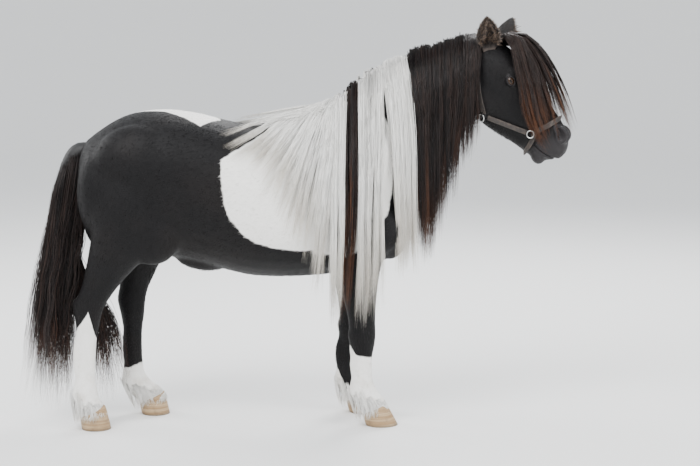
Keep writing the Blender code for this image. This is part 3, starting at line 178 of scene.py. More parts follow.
FACE_FORMS = (
    ((0.133, 0.058, 0.011), (0.038, 0.025, 0.030), 0),  # brow and orbit
    ((0.118, 0.048, -0.094), (0.080, 0.030, 0.064), 0),  # cheek
    ((0.235, 0.046, -0.016), (0.062, 0.012, 0.012), 8),  # cheekbone
    ((0.376, 0.034, 0.009), (0.032, 0.020, 0.028), 0),  # flare of the nostril
    ((0.404, 0.018, -0.034), (0.028, 0.027, 0.024), 0),  # upper lip
    ((0.376, 0.012, -0.088), (0.034, 0.030, 0.026), 30),  # lower lip and chin
)

# Mesh helpers

def add_object(name, mesh):
    """Puts a mesh in the scene as a named object."""
    obj = bpy.data.objects.new(name, mesh)
    bpy.context.scene.collection.objects.link(obj)
    return obj


def object_from(name, bm):
    """Turns a bmesh into an object with its faces pointing out."""
    bmesh.ops.triangulate(bm, faces=bm.faces)
    bmesh.ops.recalc_face_normals(bm, faces=bm.faces)
    mesh = bpy.data.meshes.new(name)
    bm.to_mesh(mesh)
    bm.free()
    return add_object(name, mesh)


def settle(obj):
    """Applies every modifier of an object to its mesh."""
    bpy.context.view_layer.update()
    graph = bpy.context.evaluated_depsgraph_get()
    mesh = bpy.data.meshes.new_from_object(obj.evaluated_get(graph))
    obj.modifiers.clear()
    obj.data = mesh
    return obj


def remove(*objects):
    for obj in objects:
        bpy.data.objects.remove(obj, do_unlink=True)


def catmull_rom(rows, steps):
    """Rows of numbers with steps - 1 smooth rows put in between each two."""
    rows = np.array(rows, float)
    padded = np.vstack([2 * rows[0] - rows[1], rows, 2 * rows[-1] - rows[-2]])
    out = []
    for i in range(len(rows) - 1):
        a, b, c, d = padded[i:i + 4]
        for t in np.linspace(0, 1, steps, endpoint=False):
            bend = (2 * a - 5 * b + 4 * c - d) * t * t + (3 * b - a - 3 * c + d) * t ** 3
            out.append(0.5 * (2 * b + (c - a) * t + bend))
    out.append(rows[-1])
    return np.array(out)


def ring_points(upper, lower, half, waist, power, count):
    """A closed ring through two opposite points, widest at waist, as a superellipse."""
    axis = upper - lower
    middle = lower + axis * waist
    points = []
    for k in range(count):
        angle = 2 * math.pi * k / count
        across, along = math.cos(angle), math.sin(angle)
        reach = (1 - waist) if along > 0 else waist
        side = half * math.copysign(abs(across) ** (2 / power), across)
        rise = reach * math.copysign(abs(along) ** (2 / power), along)
        points.append(middle + axis * rise + Vector((0, side, 0)))
    return points


def loft(name, rings):
    """A closed solid through rings that hold the same number of points."""
    bm = bmesh.new()
    loops = [[bm.verts.new(p) for p in ring] for ring in rings]
    count = len(loops[0])
    for first, second in zip(loops, loops[1:]):
        for k in range(count):
            bm.faces.new((first[k], first[(k + 1) % count], second[(k + 1) % count], second[k]))
    bm.faces.new(loops[0][::-1])
    bm.faces.new(loops[-1])
    return object_from(name, bm)


def profile_loft(name, rows, count=32, steps=4):
    """A solid from rows of top, bottom, half width, waist and squareness in the plane of symmetry."""
    rings = []
    for x1, z1, x2, z2, half, waist, power in catmull_rom(rows, steps):
        upper, lower = Vector((x1, 0, z1)), Vector((x2, 0, z2))
        rings.append(ring_points(upper, lower, max(half, 0.004), waist, power, count))
    return loft(name, rings)


def ellipsoid(name, centre, radii, turn=0.0, subdivisions=4):
    """A ball stretched to radii and turned about Y, in degrees."""
    bm = bmesh.new()
    bmesh.ops.create_icosphere(bm, subdivisions=subdivisions, radius=1)
    place = Matrix.Translation(centre) @ Matrix.Rotation(math.radians(turn), 4, "Y")
    bmesh.ops.transform(bm, matrix=place @ Matrix.Diagonal((*radii, 1)), verts=bm.verts)
    return object_from(name, bm)


def join(name, objects):
    """All the meshes in one object, still overlapping."""
    bm = bmesh.new()
    for obj in objects:
        bm.from_mesh(obj.data)
    mesh = bpy.data.meshes.new(name)
    bm.to_mesh(mesh)
    bm.free()
    remove(*objects)
    return add_object(name, mesh)


def melt(obj, voxel, rounds, factor=0.5):
    """Fuses overlapping shapes on a grid and relaxes the joints between them."""
    remesh = obj.modifiers.new("melt", "REMESH")
    remesh.mode = "VOXEL"
    remesh.voxel_size = voxel
    relax = obj.modifiers.new("relax", "SMOOTH")
    relax.factor = factor
    relax.iterations = rounds
    return settle(obj)


def limb(name, joints, girths, side, count=20, steps=3):
    """A leg lofted round its joints, each ring square to the line of the leg."""
    rows = []
    for joint, share, front, back, half in girths:
        upper = Vector(joints[joint])
        lower = Vector(joints[joint + 1])
        place = upper.lerp(lower, share)
        rows.append((*place, front, back, half))
    rows = catmull_rom(rows, steps)
    rings = []
    for i, row in enumerate(rows):
        before, after = rows[max(i - 1, 0)], rows[min(i + 1, len(rows) - 1)]
        along = Vector((after[0] - before[0], 0, after[2] - before[2])).normalized()
        forward = Vector((-along.z, 0, along.x))
        centre = Vector((row[0], side * row[1], row[2]))
        upper, lower = centre + forward * row[3], centre - forward * row[4]
        waist = row[4] / (row[3] + row[4])
        rings.append(ring_points(upper, lower, row[5], waist, 2.0, count))
    return loft(name, rings)


def both_sides(forms):
    """Ellipsoids on the left side and their mirror images on the right."""
    pieces = []
    for centre, radii, turn in forms:
        for _, side in SIDES:
            place = (centre[0], side * centre[1], centre[2])
            pieces.append(ellipsoid("muscle", place, radii, turn))
    return pieces


def head_place():
    """The matrix from the head's frame to the pony's."""
    turn = Matrix.Rotation(HEAD_YAW, 4, "Z") @ Matrix.Rotation(HEAD_PITCH, 4, "Y")
    return Matrix.Translation(POLL) @ turn


def build_flesh():
    """The whole body as one smooth closed surface."""
    pieces = [profile_loft("trunk", TRUNK), profile_loft("neck", NECK)]
    pieces += both_sides(MUSCLES)
    pieces.append(ellipsoid("sheath", *SHEATH))
    for name, side in SIDES:
        for kind, joints, girths in (("hind", HIND_JOINTS, HIND_GIRTHS), ("fore", FORE_JOINTS, FORE_GIRTHS)):
            pieces.append(limb(kind, joints[name], girths, side))
            for joint, offset, radii, turn in LEG_FORMS[kind]:
                x, y, z = joints[name][joint]
                centre = (x + offset[0], side * y, z + offset[2])
                pieces.append(ellipsoid("form", centre, radii, turn))
    body = melt(join("flesh", pieces), VOXEL_BODY, 22)
    skull = [profile_loft("skull", SKULL)] + both_sides(FACE_FORMS)
    for piece in skull:
        piece.data.transform(head_place())
    return melt(join("flesh", [body] + skull), VOXEL_FINE, 4)


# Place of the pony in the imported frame

def packed_shift():
    """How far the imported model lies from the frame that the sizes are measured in, by one hoof."""
    low, high = (Vector(c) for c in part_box("hoof_fore_right"))
    toe, _, _, step = HOOVES["fore"]
    x, y, _ = FORE_JOINTS["right"][4]
    return Vector((high.x - x - step - toe, (low.y + high.y) / 2 + y, low.z))


HEAD = head_place()
HEAD_BACK = np.array(HEAD.inverted())
HEAD_TURN = np.array(HEAD.to_3x3())


def to_head(points):
    """Points of the pony's frame in the head's frame."""
    return points @ HEAD_BACK[:3, :3].T + HEAD_BACK[:3, 3]


def smooth(low, high, value):
    """A soft step from 0 at low to 1 at high."""
    share = np.clip((value - low) / (high - low), 0, 1)
    return share * share * (3 - 2 * share)


def unit(vectors):
    return vectors / np.maximum(np.linalg.norm(vectors, axis=-1, keepdims=True), 1e-9)


# Shader maths

class S:
    """A shader socket that can be written in sums."""

    tree = None

    def __init__(self, socket):
        self.socket = socket

    @classmethod
    def node(cls, kind, settings=None, inputs=None, output=0):
        """Any node: its type, its settings, and the values or links of its sockets."""
        node = cls.tree.nodes.new(kind)
        for key, value in (settings or {}).items():
            setattr(node, key, value)
        for key, value in (inputs or {}).items():
            cls.put(node.inputs[key], value)
        return S(node.outputs[output])

    @classmethod
    def put(cls, socket, value):
        if isinstance(value, S):
            cls.tree.links.new(value.socket, socket)
        else:
            socket.default_value = value

    @classmethod
    def math(cls, operation, *values, clamp=False):
        settings = {"operation": operation, "use_clamp": clamp}
        return cls.node("ShaderNodeMath", settings, dict(enumerate(values)))

    def __add__(self, other):
        return S.math("ADD", self, other)

    def __sub__(self, other):
        return S.math("SUBTRACT", self, other)

    def __mul__(self, other):
        return S.math("MULTIPLY", self, other)

    def __truediv__(self, other):
        return S.math("DIVIDE", self, other)

    def __rsub__(self, other):
        return S.math("SUBTRACT", other, self)

    def __rtruediv__(self, other):
        return S.math("DIVIDE", other, self)

    __radd__ = __add__
    __rmul__ = __mul__

    def __pow__(self, other):
        return S.math("POWER", self, other)

    def step(self, low, high):
        """A soft step from 0 at low to 1 at high."""
        settings = {"interpolation_type": "SMOOTHSTEP"}
        return S.node("ShaderNodeMapRange", settings, {"Value": self, "From Min": low, "From Max": high})

    def lowest(self, other):
        return S.math("MINIMUM", self, other)

    def highest(self, other):
        return S.math("MAXIMUM", self, other)

    def parts(self):
        node = S.tree.nodes.new("ShaderNodeSeparateXYZ")
        S.put(node.inputs[0], self)
        return [S(out) for out in node.outputs]

    def stretched(self, scale, shift=(0, 0, 0)):
        """The vector times a scale, after a shift."""
        moved = S.node("ShaderNodeVectorMath", {"operation": "ADD"}, {0: self, 1: shift})
        return S.node("ShaderNodeVectorMath", {"operation": "MULTIPLY"}, {0: moved, 1: scale})


def noise(vector, scale, detail=3.0, rough=0.55, output=0):
    """Noise on a vector, about 0.5 on average."""
    inputs = {"Vector": vector, "Scale": scale, "Detail": detail, "Roughness": rough}
    return S.node("ShaderNodeTexNoise", {}, inputs, output)


def mixed(factor, first, second):
    """A colour between two, as vectors or links."""
    node = S.tree.nodes.new("ShaderNodeMix")
    node.data_type = "RGBA"
    S.put(node.inputs[0], factor)
    for index, colour in ((6, first), (7, second)):
        S.put(node.inputs[index], colour if isinstance(colour, S) else (*colour, 1))
    return S(node.outputs[2])


def bumped(height, distance, strength=1.0):
    """A normal from a height field."""
    return S.node("ShaderNodeBump", {}, {"Height": height, "Distance": distance, "Strength": strength})


def material(name, make):
    """A material whose Principled shader takes the sockets that make returns."""
    found = bpy.data.materials.get(name)
    if found:
        return found
    result = bpy.data.materials.new(name)
    result.use_nodes = True
    S.tree = result.node_tree
    shader = S.tree.nodes["Principled BSDF"]
    for key, value in make().items():
        S.put(shader.inputs[key], value)
    return result


def attribute(name, output="Vector"):
    node = S.tree.nodes.new("ShaderNodeAttribute")
    node.attribute_name = name
    return S(node.outputs[output])


def object_place(shift):
    """Object coordinates in the pony's own frame."""
    coords = S.node("ShaderNodeTexCoord", {}, {}, "Object")
    return S.node("ShaderNodeVectorMath", {"operation": "SUBTRACT"}, {0: coords, 1: tuple(shift)})


# Colours

BLACK = (0.0030, 0.0027, 0.0031)
BLACK_SHEEN = (0.0088, 0.0068, 0.0064)
WHITE = (0.90, 0.885, 0.85)
WHITE_DULL = (0.76, 0.74, 0.69)
RUST = (0.26, 0.095, 0.034)
MUZZLE = (0.024, 0.022, 0.023)


def white_mask(place):
    """1 where the coat is white, 0 where it is black, with a ragged edge."""
    rag = (noise(place, 30.0, 4.0, 0.62) - 0.5) * 0.040 + (noise(place, 7.0, 1.0) - 0.5) * 0.030
    x, y, z = place.parts()
    near = (y * -1).step(-0.02, 0.0)

    def blob(cx, cz, rx, rz, power):
        """Above 0 inside a rounded box in side view."""
        dx = S.math("ABSOLUTE", (x - cx) / rx)
        dz = S.math("ABSOLUTE", (z - cz) / rz)
        return (1.0 - (dx ** power + dz ** power) ** (1 / power)) * min(rx, rz)

    # the barrel on the near side, cut off by a line that rises to the withers, and over them on the far side
    barrel = blob(-0.001, 0.820, 0.266, 0.250, 2.75).highest(blob(0.080, 0.84, 0.14, 0.29, 2.6))
    barrel = barrel.lowest((x + 0.140) * 0.53 + 0.922 - z)
    far = blob(-0.020, 0.900, 0.190, 0.215, 2.6).highest(blob(0.10, 0.98, 0.15, 0.16, 2.2))
    far = far.lowest((x + 0.10) * 1.6 + 0.06)
    body = near * barrel + (1.0 - near) * far
    # the patch over the croup
    edge = ((-0.330 - x) * 0.62).highest((x + 0.330) * 1.3)
    croup = (y + 0.115 - edge).lowest(0.150 - y - ((x + 0.41) / 0.15) ** 2 * 0.09)
    croup = croup.lowest(0.150 - S.math("ABSOLUTE", x + 0.42)).lowest(z - 0.88)
    body = body.highest(croup)

    def sock(x1, x2, left, top):
        """Above 0 below the top edge of a sock on one leg."""
        this = (x - x1).lowest(x2 - x).lowest(y if left else y * -1)
        return (top - z).lowest(this * 3.0)

    peak = 0.376 - ((-0.682 - x) * 1.6).highest((x + 0.682) * 4.0)
    socks = sock(-0.80, -0.60, False, peak.highest(0.285))
    socks = socks.highest(sock(-0.640, -0.380, True, (x + 0.53) * 0.3 + 0.170))
    front = ((0.250 - x) * 0.16 + 0.214).highest(0.300 - (x - 0.112).highest(0.0) * 1.9)
    socks = socks.highest(sock(0.02, 0.40, False, front))
    socks = socks.highest(sock(0.02, 0.40, True, (0.147 - (x - 0.103) * 2.6).highest(0.082)))
    wander = (noise(place, 4.0, 2.0) - 0.5) * (1.0 - near) * z.step(0.5, 0.6) * 0.16
    edge = body.highest(socks) + rag * 0.42 + wander
    return edge.step(-0.0030, 0.0030)


def coat_colour(place, whiteness):
    """The short coat: near-black with brown and grey bloom, or white with a warm shade."""
    x, y, z = place.parts()
    bloom = noise(place, 5.0, 3.0)
    flecks = noise(place.stretched((60, 420, 420)), 1.0, 2.0, 0.7)
    dark = mixed((bloom.step(0.40, 0.75) * 0.55 + flecks.step(0.52, 0.80) * 0.45), BLACK, BLACK_SHEEN)
    light = mixed((flecks.step(0.35, 0.8) * 0.3 + bloom.step(0.45, 0.8) * 0.25), WHITE, WHITE_DULL)
    stain = (0.30 - z).step(0.0, 0.30) * noise(place, 30.0, 4.0).step(0.42, 0.70) * 0.45
    light = mixed(stain, light, (0.40, 0.33, 0.24))
    return mixed(whiteness, dark, light)


def hair_bump(place):
    """Fine short hair that lies back along the body and down the legs."""
    x, y, z = place.parts()
    along = noise(place.stretched((70, 520, 520)), 1.0, 3.0, 0.65)
    down = noise(place.stretched((520, 520, 70)), 1.0, 3.0, 0.65)
    leg = (0.62 - z).step(0.0, 0.16)
    return along * (1.0 - leg) + down * leg


def skin_material(shift):
    def make():
        place = object_place(shift)
        white = white_mask(place)
        colour = coat_colour(place, white)
        naked = attribute("naked", "Fac")
        colour = mixed(naked, colour, MUZZLE)
        lumps = noise(place, 90.0, 3.0) * 0.5 + noise(place, 9.0, 2.0) * 1.4
        pores = noise(place, 700.0, 2.0)
        height = hair_bump(place) * (1.0 - naked) + (pores * 0.5 + noise(place, 160.0) * 0.5) * naked
        return {
            "Base Color": colour,
            "Roughness": 0.48 + (white * 0.10) + noise(place, 60.0) * 0.10 - naked * 0.06,
            "Normal": bumped(height + lumps * 0.5, 0.0013, 0.75),
            "Specular IOR Level": 0.17,
        }
    return material("pony skin", make)


def coat_material():
    """Tufts take the coat's colour from the place of their root."""
    def make():
        place = attribute("root")
        luck = attribute("luck", "Fac")
        white = white_mask(place)
        colour = coat_colour(place, white)
        colour = mixed((luck * 0.35), colour, mixed(white, (0.012, 0.0095, 0.0092), (0.92, 0.91, 0.88)))
        return {
            "Base Color": colour,
            "Roughness": 0.46 + white * 0.10,
            "Specular IOR Level": 0.20,
        }
    return material("pony coat", make)


def long_hair_material():
    """Long hair by its own attributes: share along the hair, luck of the lock, whiteness and rust."""
    def make():
        share, luck, lock_luck = attribute("hair").parts()
        whiteness, rust, brown = attribute("tint").parts()
        dark = mixed(luck * 0.8, BLACK, (0.014, 0.010, 0.0092))
        dark = mixed(brown * 0.8, dark, mixed(luck, (0.012, 0.0085, 0.0078), (0.052, 0.029, 0.022)))
        tip = (share + rust * 0.45 + (lock_luck - 0.5) * 0.30).step(0.75, 1.30)
        dark = mixed(tip * (0.25 + rust * 0.75), dark, mixed(luck, (0.10, 0.036, 0.016), RUST))
        light = mixed(luck * 0.7, (0.93, 0.925, 0.90), (0.78, 0.76, 0.71))
        light = mixed(share.step(0.50, 1.0) * (0.25 + rust * 0.5), light, (0.60, 0.51, 0.37))
        return {
            "Base Color": mixed(whiteness, dark, light),
            "Roughness": 0.38 + whiteness * 0.10 + luck * 0.08,
            "Specular IOR Level": 0.26,
        }
    return material("pony long hair", make)


# Skin

def refine(bm, near, size):
    """Splits the long edges round the places that near picks out."""
    bm.verts.ensure_lookup_table()
    points = np.array([v.co[:] for v in bm.verts])
    chosen = near(points)
    edges = [e for e in bm.edges if chosen[e.verts[0].index] and chosen[e.verts[1].index]
             and e.calc_length() > size]
    bmesh.ops.subdivide_edges(bm, edges=edges, cuts=1, use_grid_fill=True)
    bm.verts.index_update()


def eye_axes(side):
    """The eye's centre and the ways out of it, along the lids and up, in the head's frame."""
    out = Vector((0.16, side * 1.0, 0.10)).normalized()
    along = Vector((1, 0, -0.20))
    along = (along - out * along.dot(out)).normalized()
    up = out.cross(along).normalized()
    if up.z < 0:
        up = -up
    centre = Vector((EYE_CENTRE.x, side * EYE_CENTRE.y, EYE_CENTRE.z))
    return np.array(centre), np.array(out), np.array(along), np.array(up)


def mouth_level(x):
    """Height of the mouth line at x, in the head's frame."""
    share = np.clip((x - 0.345) / 0.085, 0, 1)
    return -0.076 + 0.026 * share - 0.006 * np.sin(np.pi * share)


def sculpt_head(points, normals):
    """Lids, nostrils and mouth, by moving points of the head's frame."""
    points = points.copy()
    naked = np.zeros(len(points))
    for side in (1, -1):
        centre, out, along, up = eye_axes(side)
        ray = points - centre
        reach = np.linalg.norm(ray, axis=1)
        ray = unit(ray)
        turn = np.degrees(np.arccos(np.clip(ray @ out, -1, 1)))
        a, b = ray @ along, ray @ up
        high = np.where(b > 0, 0.56, 0.44) * (1 - 0.30 * np.clip(np.abs(a) / 0.78, 0, 1) ** 2)
        ring = np.sqrt((a / 0.78) ** 2 + (b / high) ** 2)
        lid = EYE_RADIUS + 0.0020 + 0.0010 * np.exp(-((ring - 1.12) / 0.10) ** 2)
        lid -= 0.0013 * np.exp(-((ring - 1.50) / 0.08) ** 2) * (b > 0)
        lid -= 0.0007 * np.exp(-((ring - 1.45) / 0.08) ** 2) * (b <= 0)
        lid += 0.0016 * np.exp(-((ring - 1.85) / 0.20) ** 2) * (b > 0)
        wanted = 0.0145 + (lid - 0.0145) * smooth(0.93, 1.07, ring)
        hold = (1 - smooth(48, 86, turn)) * (reach < 0.045)
        points += (centre + ray * wanted[:, None] - points) * hold[:, None]
        naked = np.maximum(naked, hold * (1 - smooth(1.15, 1.55, ring)))
    for side in (1, -1):
        centre = np.array((NOSTRIL.x, side * NOSTRIL.y, NOSTRIL.z))
        out = unit(np.array((0.50, side * 0.80, 0.22)))
        second = np.array((-0.70, 0.0, 0.70))
        second = unit(second - out * (second @ out))
        first = np.cross(second, out) * side
        off = points - centre
        u, v = off @ first, off @ second
        u = u - 0.30 * np.clip(v, 0, None)
        close = np.linalg.norm(off, axis=1) < 0.036
        ring = np.sqrt((u / 0.0105) ** 2 + (v / 0.0200) ** 2)
        push = -0.019 * (1 - smooth(0.40, 1.12, ring)) + 0.0044 * np.exp(-((ring - 1.42) / 0.24) ** 2)
        points += out * (push * close)[:, None]
        naked = np.maximum(naked, close * (1 - smooth(1.2, 1.9, ring)))
    x, z = points[:, 0], points[:, 2]
    lift = z - mouth_level(x)
    front = smooth(0.338, 0.352, x)
    groove = -0.0042 * np.exp(-(lift / 0.0017) ** 2)
    groove += 0.0016 * np.exp(-((np.abs(lift) - 0.0065) / 0.0042) ** 2)
    points += normals * (groove * front)[:, None]
    lips = smooth(0.330, 0.385, x + 0.30 * (-0.02 - z).clip(0, None))
    naked = np.maximum(naked, 0.85 * lips)
    return points, naked


def build_skin():
    """One skin over the whole body, finest at the eyes, nostrils and mouth."""
    skin = build_flesh()
    mesh = skin.data
    points = numbers(mesh.vertices, "co", 3)
    local = to_head(points)
    head = ((local[:, 0] > -0.02) & (np.abs(local[:, 1]) < 0.14)
            & (local[:, 2] > -0.22) & (points[:, 0] > 0.50))
    group = skin.vertex_groups.new(name="loose")
    group.add([int(i) for i in np.nonzero(~head)[0]], 1.0, "REPLACE")
    mesh.calc_loop_triangles()
    modifier = skin.modifiers.new("thin", "DECIMATE")
    kept = int(np.sum(head)) * 2
    modifier.ratio = (kept + 84000) / len(mesh.loop_triangles)
    modifier.vertex_group = "loose"
    settle(skin)
    skin.vertex_groups.clear()
    bm = bmesh.new()
    bm.from_mesh(skin.data)

    def close_to(places, reach):
        places = np.array(places)

        def near(points):
            local = to_head(points)
            gap = np.full(len(points), 9.0)
            for place in places:
                gap = np.minimum(gap, np.linalg.norm(local - place, axis=1))
            return gap < reach
        return near

    eyes = [(EYE_CENTRE.x, s * EYE_CENTRE.y, EYE_CENTRE.z) for s in (1, -1)]
    nostrils = [(NOSTRIL.x, s * NOSTRIL.y, NOSTRIL.z) for s in (1, -1)]

    def mouth(points):
        local = to_head(points)
        return (local[:, 0] > 0.33) & (np.abs(local[:, 2] - mouth_level(local[:, 0])) < 0.012)

    refine(bm, close_to(eyes, 0.040), 0.0025)
    refine(bm, close_to(nostrils, 0.034), 0.0025)
    refine(bm, mouth, 0.0020)
    refine(bm, close_to(eyes, 0.033), 0.0014)
    refine(bm, close_to(nostrils, 0.030), 0.0014)
    refine(bm, close_to(eyes, 0.030), 0.0007)
    refine(bm, mouth, 0.0012)
    bmesh.ops.triangulate(bm, faces=bm.faces)
    bm.to_mesh(skin.data)
    bm.free()
    mesh = skin.data
    points = numbers(mesh.vertices, "co", 3)
    normals = vertex_normals(mesh)
    local, turned = to_head(points), normals @ HEAD_BACK[:3, :3].T
    points = points - normals * skin_depth(points, local)[:, None]
    local = to_head(points)
    moved, naked = sculpt_head(local, turned)
    back = np.array(HEAD)
    moved = moved @ back[:3, :3].T + back[:3, 3]
    here = (local[:, 0] > -0.02) & (np.abs(local[:, 1]) < 0.13) & (local[:, 2] > -0.2) & (points[:, 0] > 0.5)
    points = np.where(here[:, None], moved, points)
    mesh.vertices.foreach_set("co", points.astype(np.float32).ravel())
    mesh.update()
    store = mesh.attributes.new("naked", "FLOAT", "POINT")
    store.data.foreach_set("value", (naked * here).astype(np.float32))
    mesh.shade_smooth()
    skin.name = "skin"
    return skin


def skin_depth(points, local):
    """How far the skin lies under the solids' surface: the depth of the flat coat."""
    depth = np.full(len(points), 0.0030)
    face = smooth(0.0, 0.10, local[:, 0]) * (points[:, 0] > 0.5)
    depth -= 0.0015 * face
    return depth


def vertex_normals(mesh):
    return numbers(mesh.vertices, "normal", 3)


# Coat

def unwrap(skin):
    """Unfolds the skin's own surface into flat charts, for the map that the coat's patches lie on."""
    bpy.context.view_layer.objects.active = skin
    skin.select_set(True)
    bpy.ops.object.mode_set(mode="EDIT")
    bpy.ops.mesh.select_all(action="SELECT")
    bpy.ops.uv.smart_project(angle_limit=math.radians(70), island_margin=0.003)
    bpy.ops.object.mode_set(mode="OBJECT")
    skin.data.uv_layers[0].name = "OFBake"


class Unwrap:
    """Looks up places of the skin on its unwrap."""

    def __init__(self, skin):
        mesh = skin.data
        self.points = numbers(mesh.vertices, "co", 3)
        self.index = numbers(mesh.polygons, "vertices", 3, np.int32)
        self.uv = numbers(mesh.uv_layers["OFBake"].data, "uv", 2).reshape(-1, 3, 2)
        self.tree = BVHTree.FromPolygons(self.points.tolist(), self.index.tolist())

    def at(self, place):
        """The place on the unwrap nearest to a point."""
        hit, _, face, _ = self.tree.find_nearest(Vector(place))
        one, two, three = self.points[self.index[face]]
        first, second, rest = two - one, three - one, np.array(hit) - one
        a, b, c = first @ first, first @ second, second @ second
        d, e = rest @ first, rest @ second
        size = max(a * c - b * b, 1e-18)
        v, w = (c * d - b * e) / size, (a * e - b * d) / size
        corners = self.uv[face]
        return corners[0] * (1 - v - w) + corners[1] * v + corners[2] * w

    def pushed_out(self, points, rest):
        """Points moved so that none lies nearer to the skin than rest."""
        moved = points.copy()
        for i, point in enumerate(points):
            hit, normal, _, _ = self.tree.find_nearest(Vector(point), 0.05)
            if hit is None:
                continue
            off = (Vector(point) - hit).dot(normal)
            if off < rest:
                moved[i] = hit + normal * rest
        return moved


def numbers(data, key, width, kind=np.float32):
    """Values of a mesh's points, loops or faces as an array."""
    values = np.empty(len(data) * width, dtype=kind)
    data.foreach_get(key, values)
    return values.reshape(-1, width).astype(float if kind is np.float32 else kind)


def lie_of_coat(points, local):
    """The way the short hair lies: back along the trunk, down the legs, down the face to the nose."""
    count = len(points)
    x, z = points[:, 0], points[:, 2]
    way = np.tile(np.array((-0.95, 0.0, -0.30)), (count, 1))
    rump = smooth(-0.36, -0.58, x)[:, None]
    way = way * (1 - rump) + np.array((-0.45, 0.0, -0.88)) * rump
    leg = smooth(0.62, 0.46, z)[:, None]
    way = way * (1 - leg) + np.array((-0.06, 0.0, -1.0)) * leg
    neck = (smooth(0.16, 0.30, x) * smooth(0.5, 0.8, z))[:, None]
    way = way * (1 - neck) + np.array((-0.42, 0.0, -0.90)) * neck
    face = (smooth(-0.02, 0.05, local[:, 0]) * (x > 0.5))[:, None]
    down = HEAD_TURN @ np.array((0.95, 0.0, 0.0))
    jaw = HEAD_TURN @ np.array((0.45, 0.0, -0.85))
    low = smooth(-0.02, -0.10, local[:, 2])[:, None]
    toward = down * (1 - low) + jaw * low
    return way * (1 - face) + toward * face


def coat_sizes(points, local, naked):
    """Length of a tuft, its width and how many grow, by place."""
    x, z = points[:, 0], points[:, 2]
    length = np.full(len(points), 0.0100)
    leg = smooth(0.55, 0.35, z)
    length = length * (1 - leg) + 0.0078 * leg
    face = smooth(-0.03, 0.10, local[:, 0]) * (x > 0.5)
    length = length * (1 - face) + 0.0046 * face
    muzzle = smooth(0.26, 0.36, local[:, 0]) * (x > 0.5)
    length = length * (1 - muzzle) + 0.0026 * muzzle
    jaw = face * smooth(-0.10, -0.14, local[:, 2]) * (1 - muzzle)
    length = length * (1 + 3.4 * jaw)
    belly = smooth(0.52, 0.47, z) * (np.abs(points[:, 1]) < 0.16) * (x > -0.5) * (x < 0.1)
    length = length * (1 + 1.1 * belly)
    grow = 1.0 + 1.3 * leg + 3.4 * face
    grow = grow * (1 - 0.97 * (naked > 0.6)) * (1 - 0.5 * muzzle)
    return length, 0.00035 + length * 0.055, grow


def blades(roots, normals, ways, lengths, widths, lift, curl):
    """Closed three-sided blades as arrays of points and triangles."""
    count = len(roots)
    flat = unit(ways - normals * np.sum(ways * normals, axis=1)[:, None])
    side = unit(np.cross(flat, normals))
    rise = np.sin(lift)[:, None]
    first = unit(flat + normals * rise)
    second = unit(flat + normals * (rise - curl[:, None]))
    base = roots - normals * (0.10 * lengths)[:, None] * 0.5
    middle = roots + first * (lengths * 0.52)[:, None]
    tip = middle + second * (lengths * 0.50)[:, None]
    half, thick = (widths / 2)[:, None], (widths * 0.32)[:, None]
    points = np.stack([
        base - side * half, base + side * half, base + normals * thick,
        middle - side * half * 0.8, middle + side * half * 0.8, middle + normals * thick * 0.9,
        tip], axis=1)
    pattern = np.array(((0, 2, 1), (0, 1, 4), (0, 4, 3), (1, 2, 5), (1, 5, 4), (2, 0, 3), (2, 3, 5),
                        (3, 4, 6), (4, 5, 6), (5, 3, 6)))
    faces = pattern[None] + (np.arange(count) * 7)[:, None, None]
    return points.reshape(-1, 3), faces.reshape(-1, 3)


def array_mesh(name, points, faces, shift):
    """An object from arrays of points and triangles."""
    mesh = bpy.data.meshes.new(name)
    mesh.vertices.add(len(points))
    mesh.vertices.foreach_set("co", (points + np.array(shift)).astype(np.float32).ravel())
    mesh.loops.add(len(faces) * 3)
    mesh.loops.foreach_set("vertex_index", faces.astype(np.int32).ravel())
    mesh.polygons.add(len(faces))
    mesh.polygons.foreach_set("loop_start", np.arange(0, len(faces) * 3, 3, dtype=np.int32))
    mesh.update(calc_edges=True)
    mesh.shade_smooth()
    obj = bpy.data.objects.new(name, mesh)
    bpy.context.scene.collection.objects.link(obj)
    return obj


def put_attribute(mesh, name, values):
    """A float or vector attribute on the points of a mesh."""
    values = np.asarray(values, dtype=np.float32)
    kind, key = ("FLOAT", "value") if values.ndim == 1 else ("FLOAT_VECTOR", "vector")
    mesh.attributes.new(name, kind, "POINT").data.foreach_set(key, values.ravel())


def put_uv(mesh, corners):
    """The OFBake map from a place for every point."""
    layer = mesh.uv_layers.new(name="OFBake")
    index = np.empty(len(mesh.loops), dtype=np.int32)
    mesh.loops.foreach_get("vertex_index", index)
    layer.data.foreach_set("uv", corners[index].astype(np.float32).ravel())


PATCH = 0.0030
BLADE_PATCH = np.array(((-0.5, -0.5), (0.5, -0.5), (0.0, -0.4),
                        (-0.4, 0.1), (0.4, 0.1), (0.0, 0.1), (0.0, 0.5)))


def scattered(mesh, total, weight):
    """Random places on a mesh by weight per area: triangle, shares of its corners."""
    points = numbers(mesh.vertices, "co", 3)
    index = numbers(mesh.polygons, "vertices", 3, np.int32)
    corners = points[index]
    area = np.linalg.norm(np.cross(corners[:, 1] - corners[:, 0], corners[:, 2] - corners[:, 0]), axis=1) / 2
    chance = area * weight(corners.mean(axis=1), index)
    pick = RNG.choice(len(index), size=total, p=chance / chance.sum())
    share = RNG.random((total, 2))
    share = np.where(share.sum(axis=1, keepdims=True) > 1, 1 - share, share)
    shares = np.stack([1 - share.sum(axis=1), share[:, 0], share[:, 1]], axis=1)[..., None]
    normals = vertex_normals(mesh)
    spots = (points[index[pick]] * shares).sum(axis=1)
    facing = unit((normals[index[pick]] * shares).sum(axis=1))
    uv = None
    if mesh.uv_layers:
        uv = (numbers(mesh.uv_layers[0].data, "uv", 2).reshape(-1, 3, 2)[pick] * shares).sum(axis=1)
    return spots, facing, uv


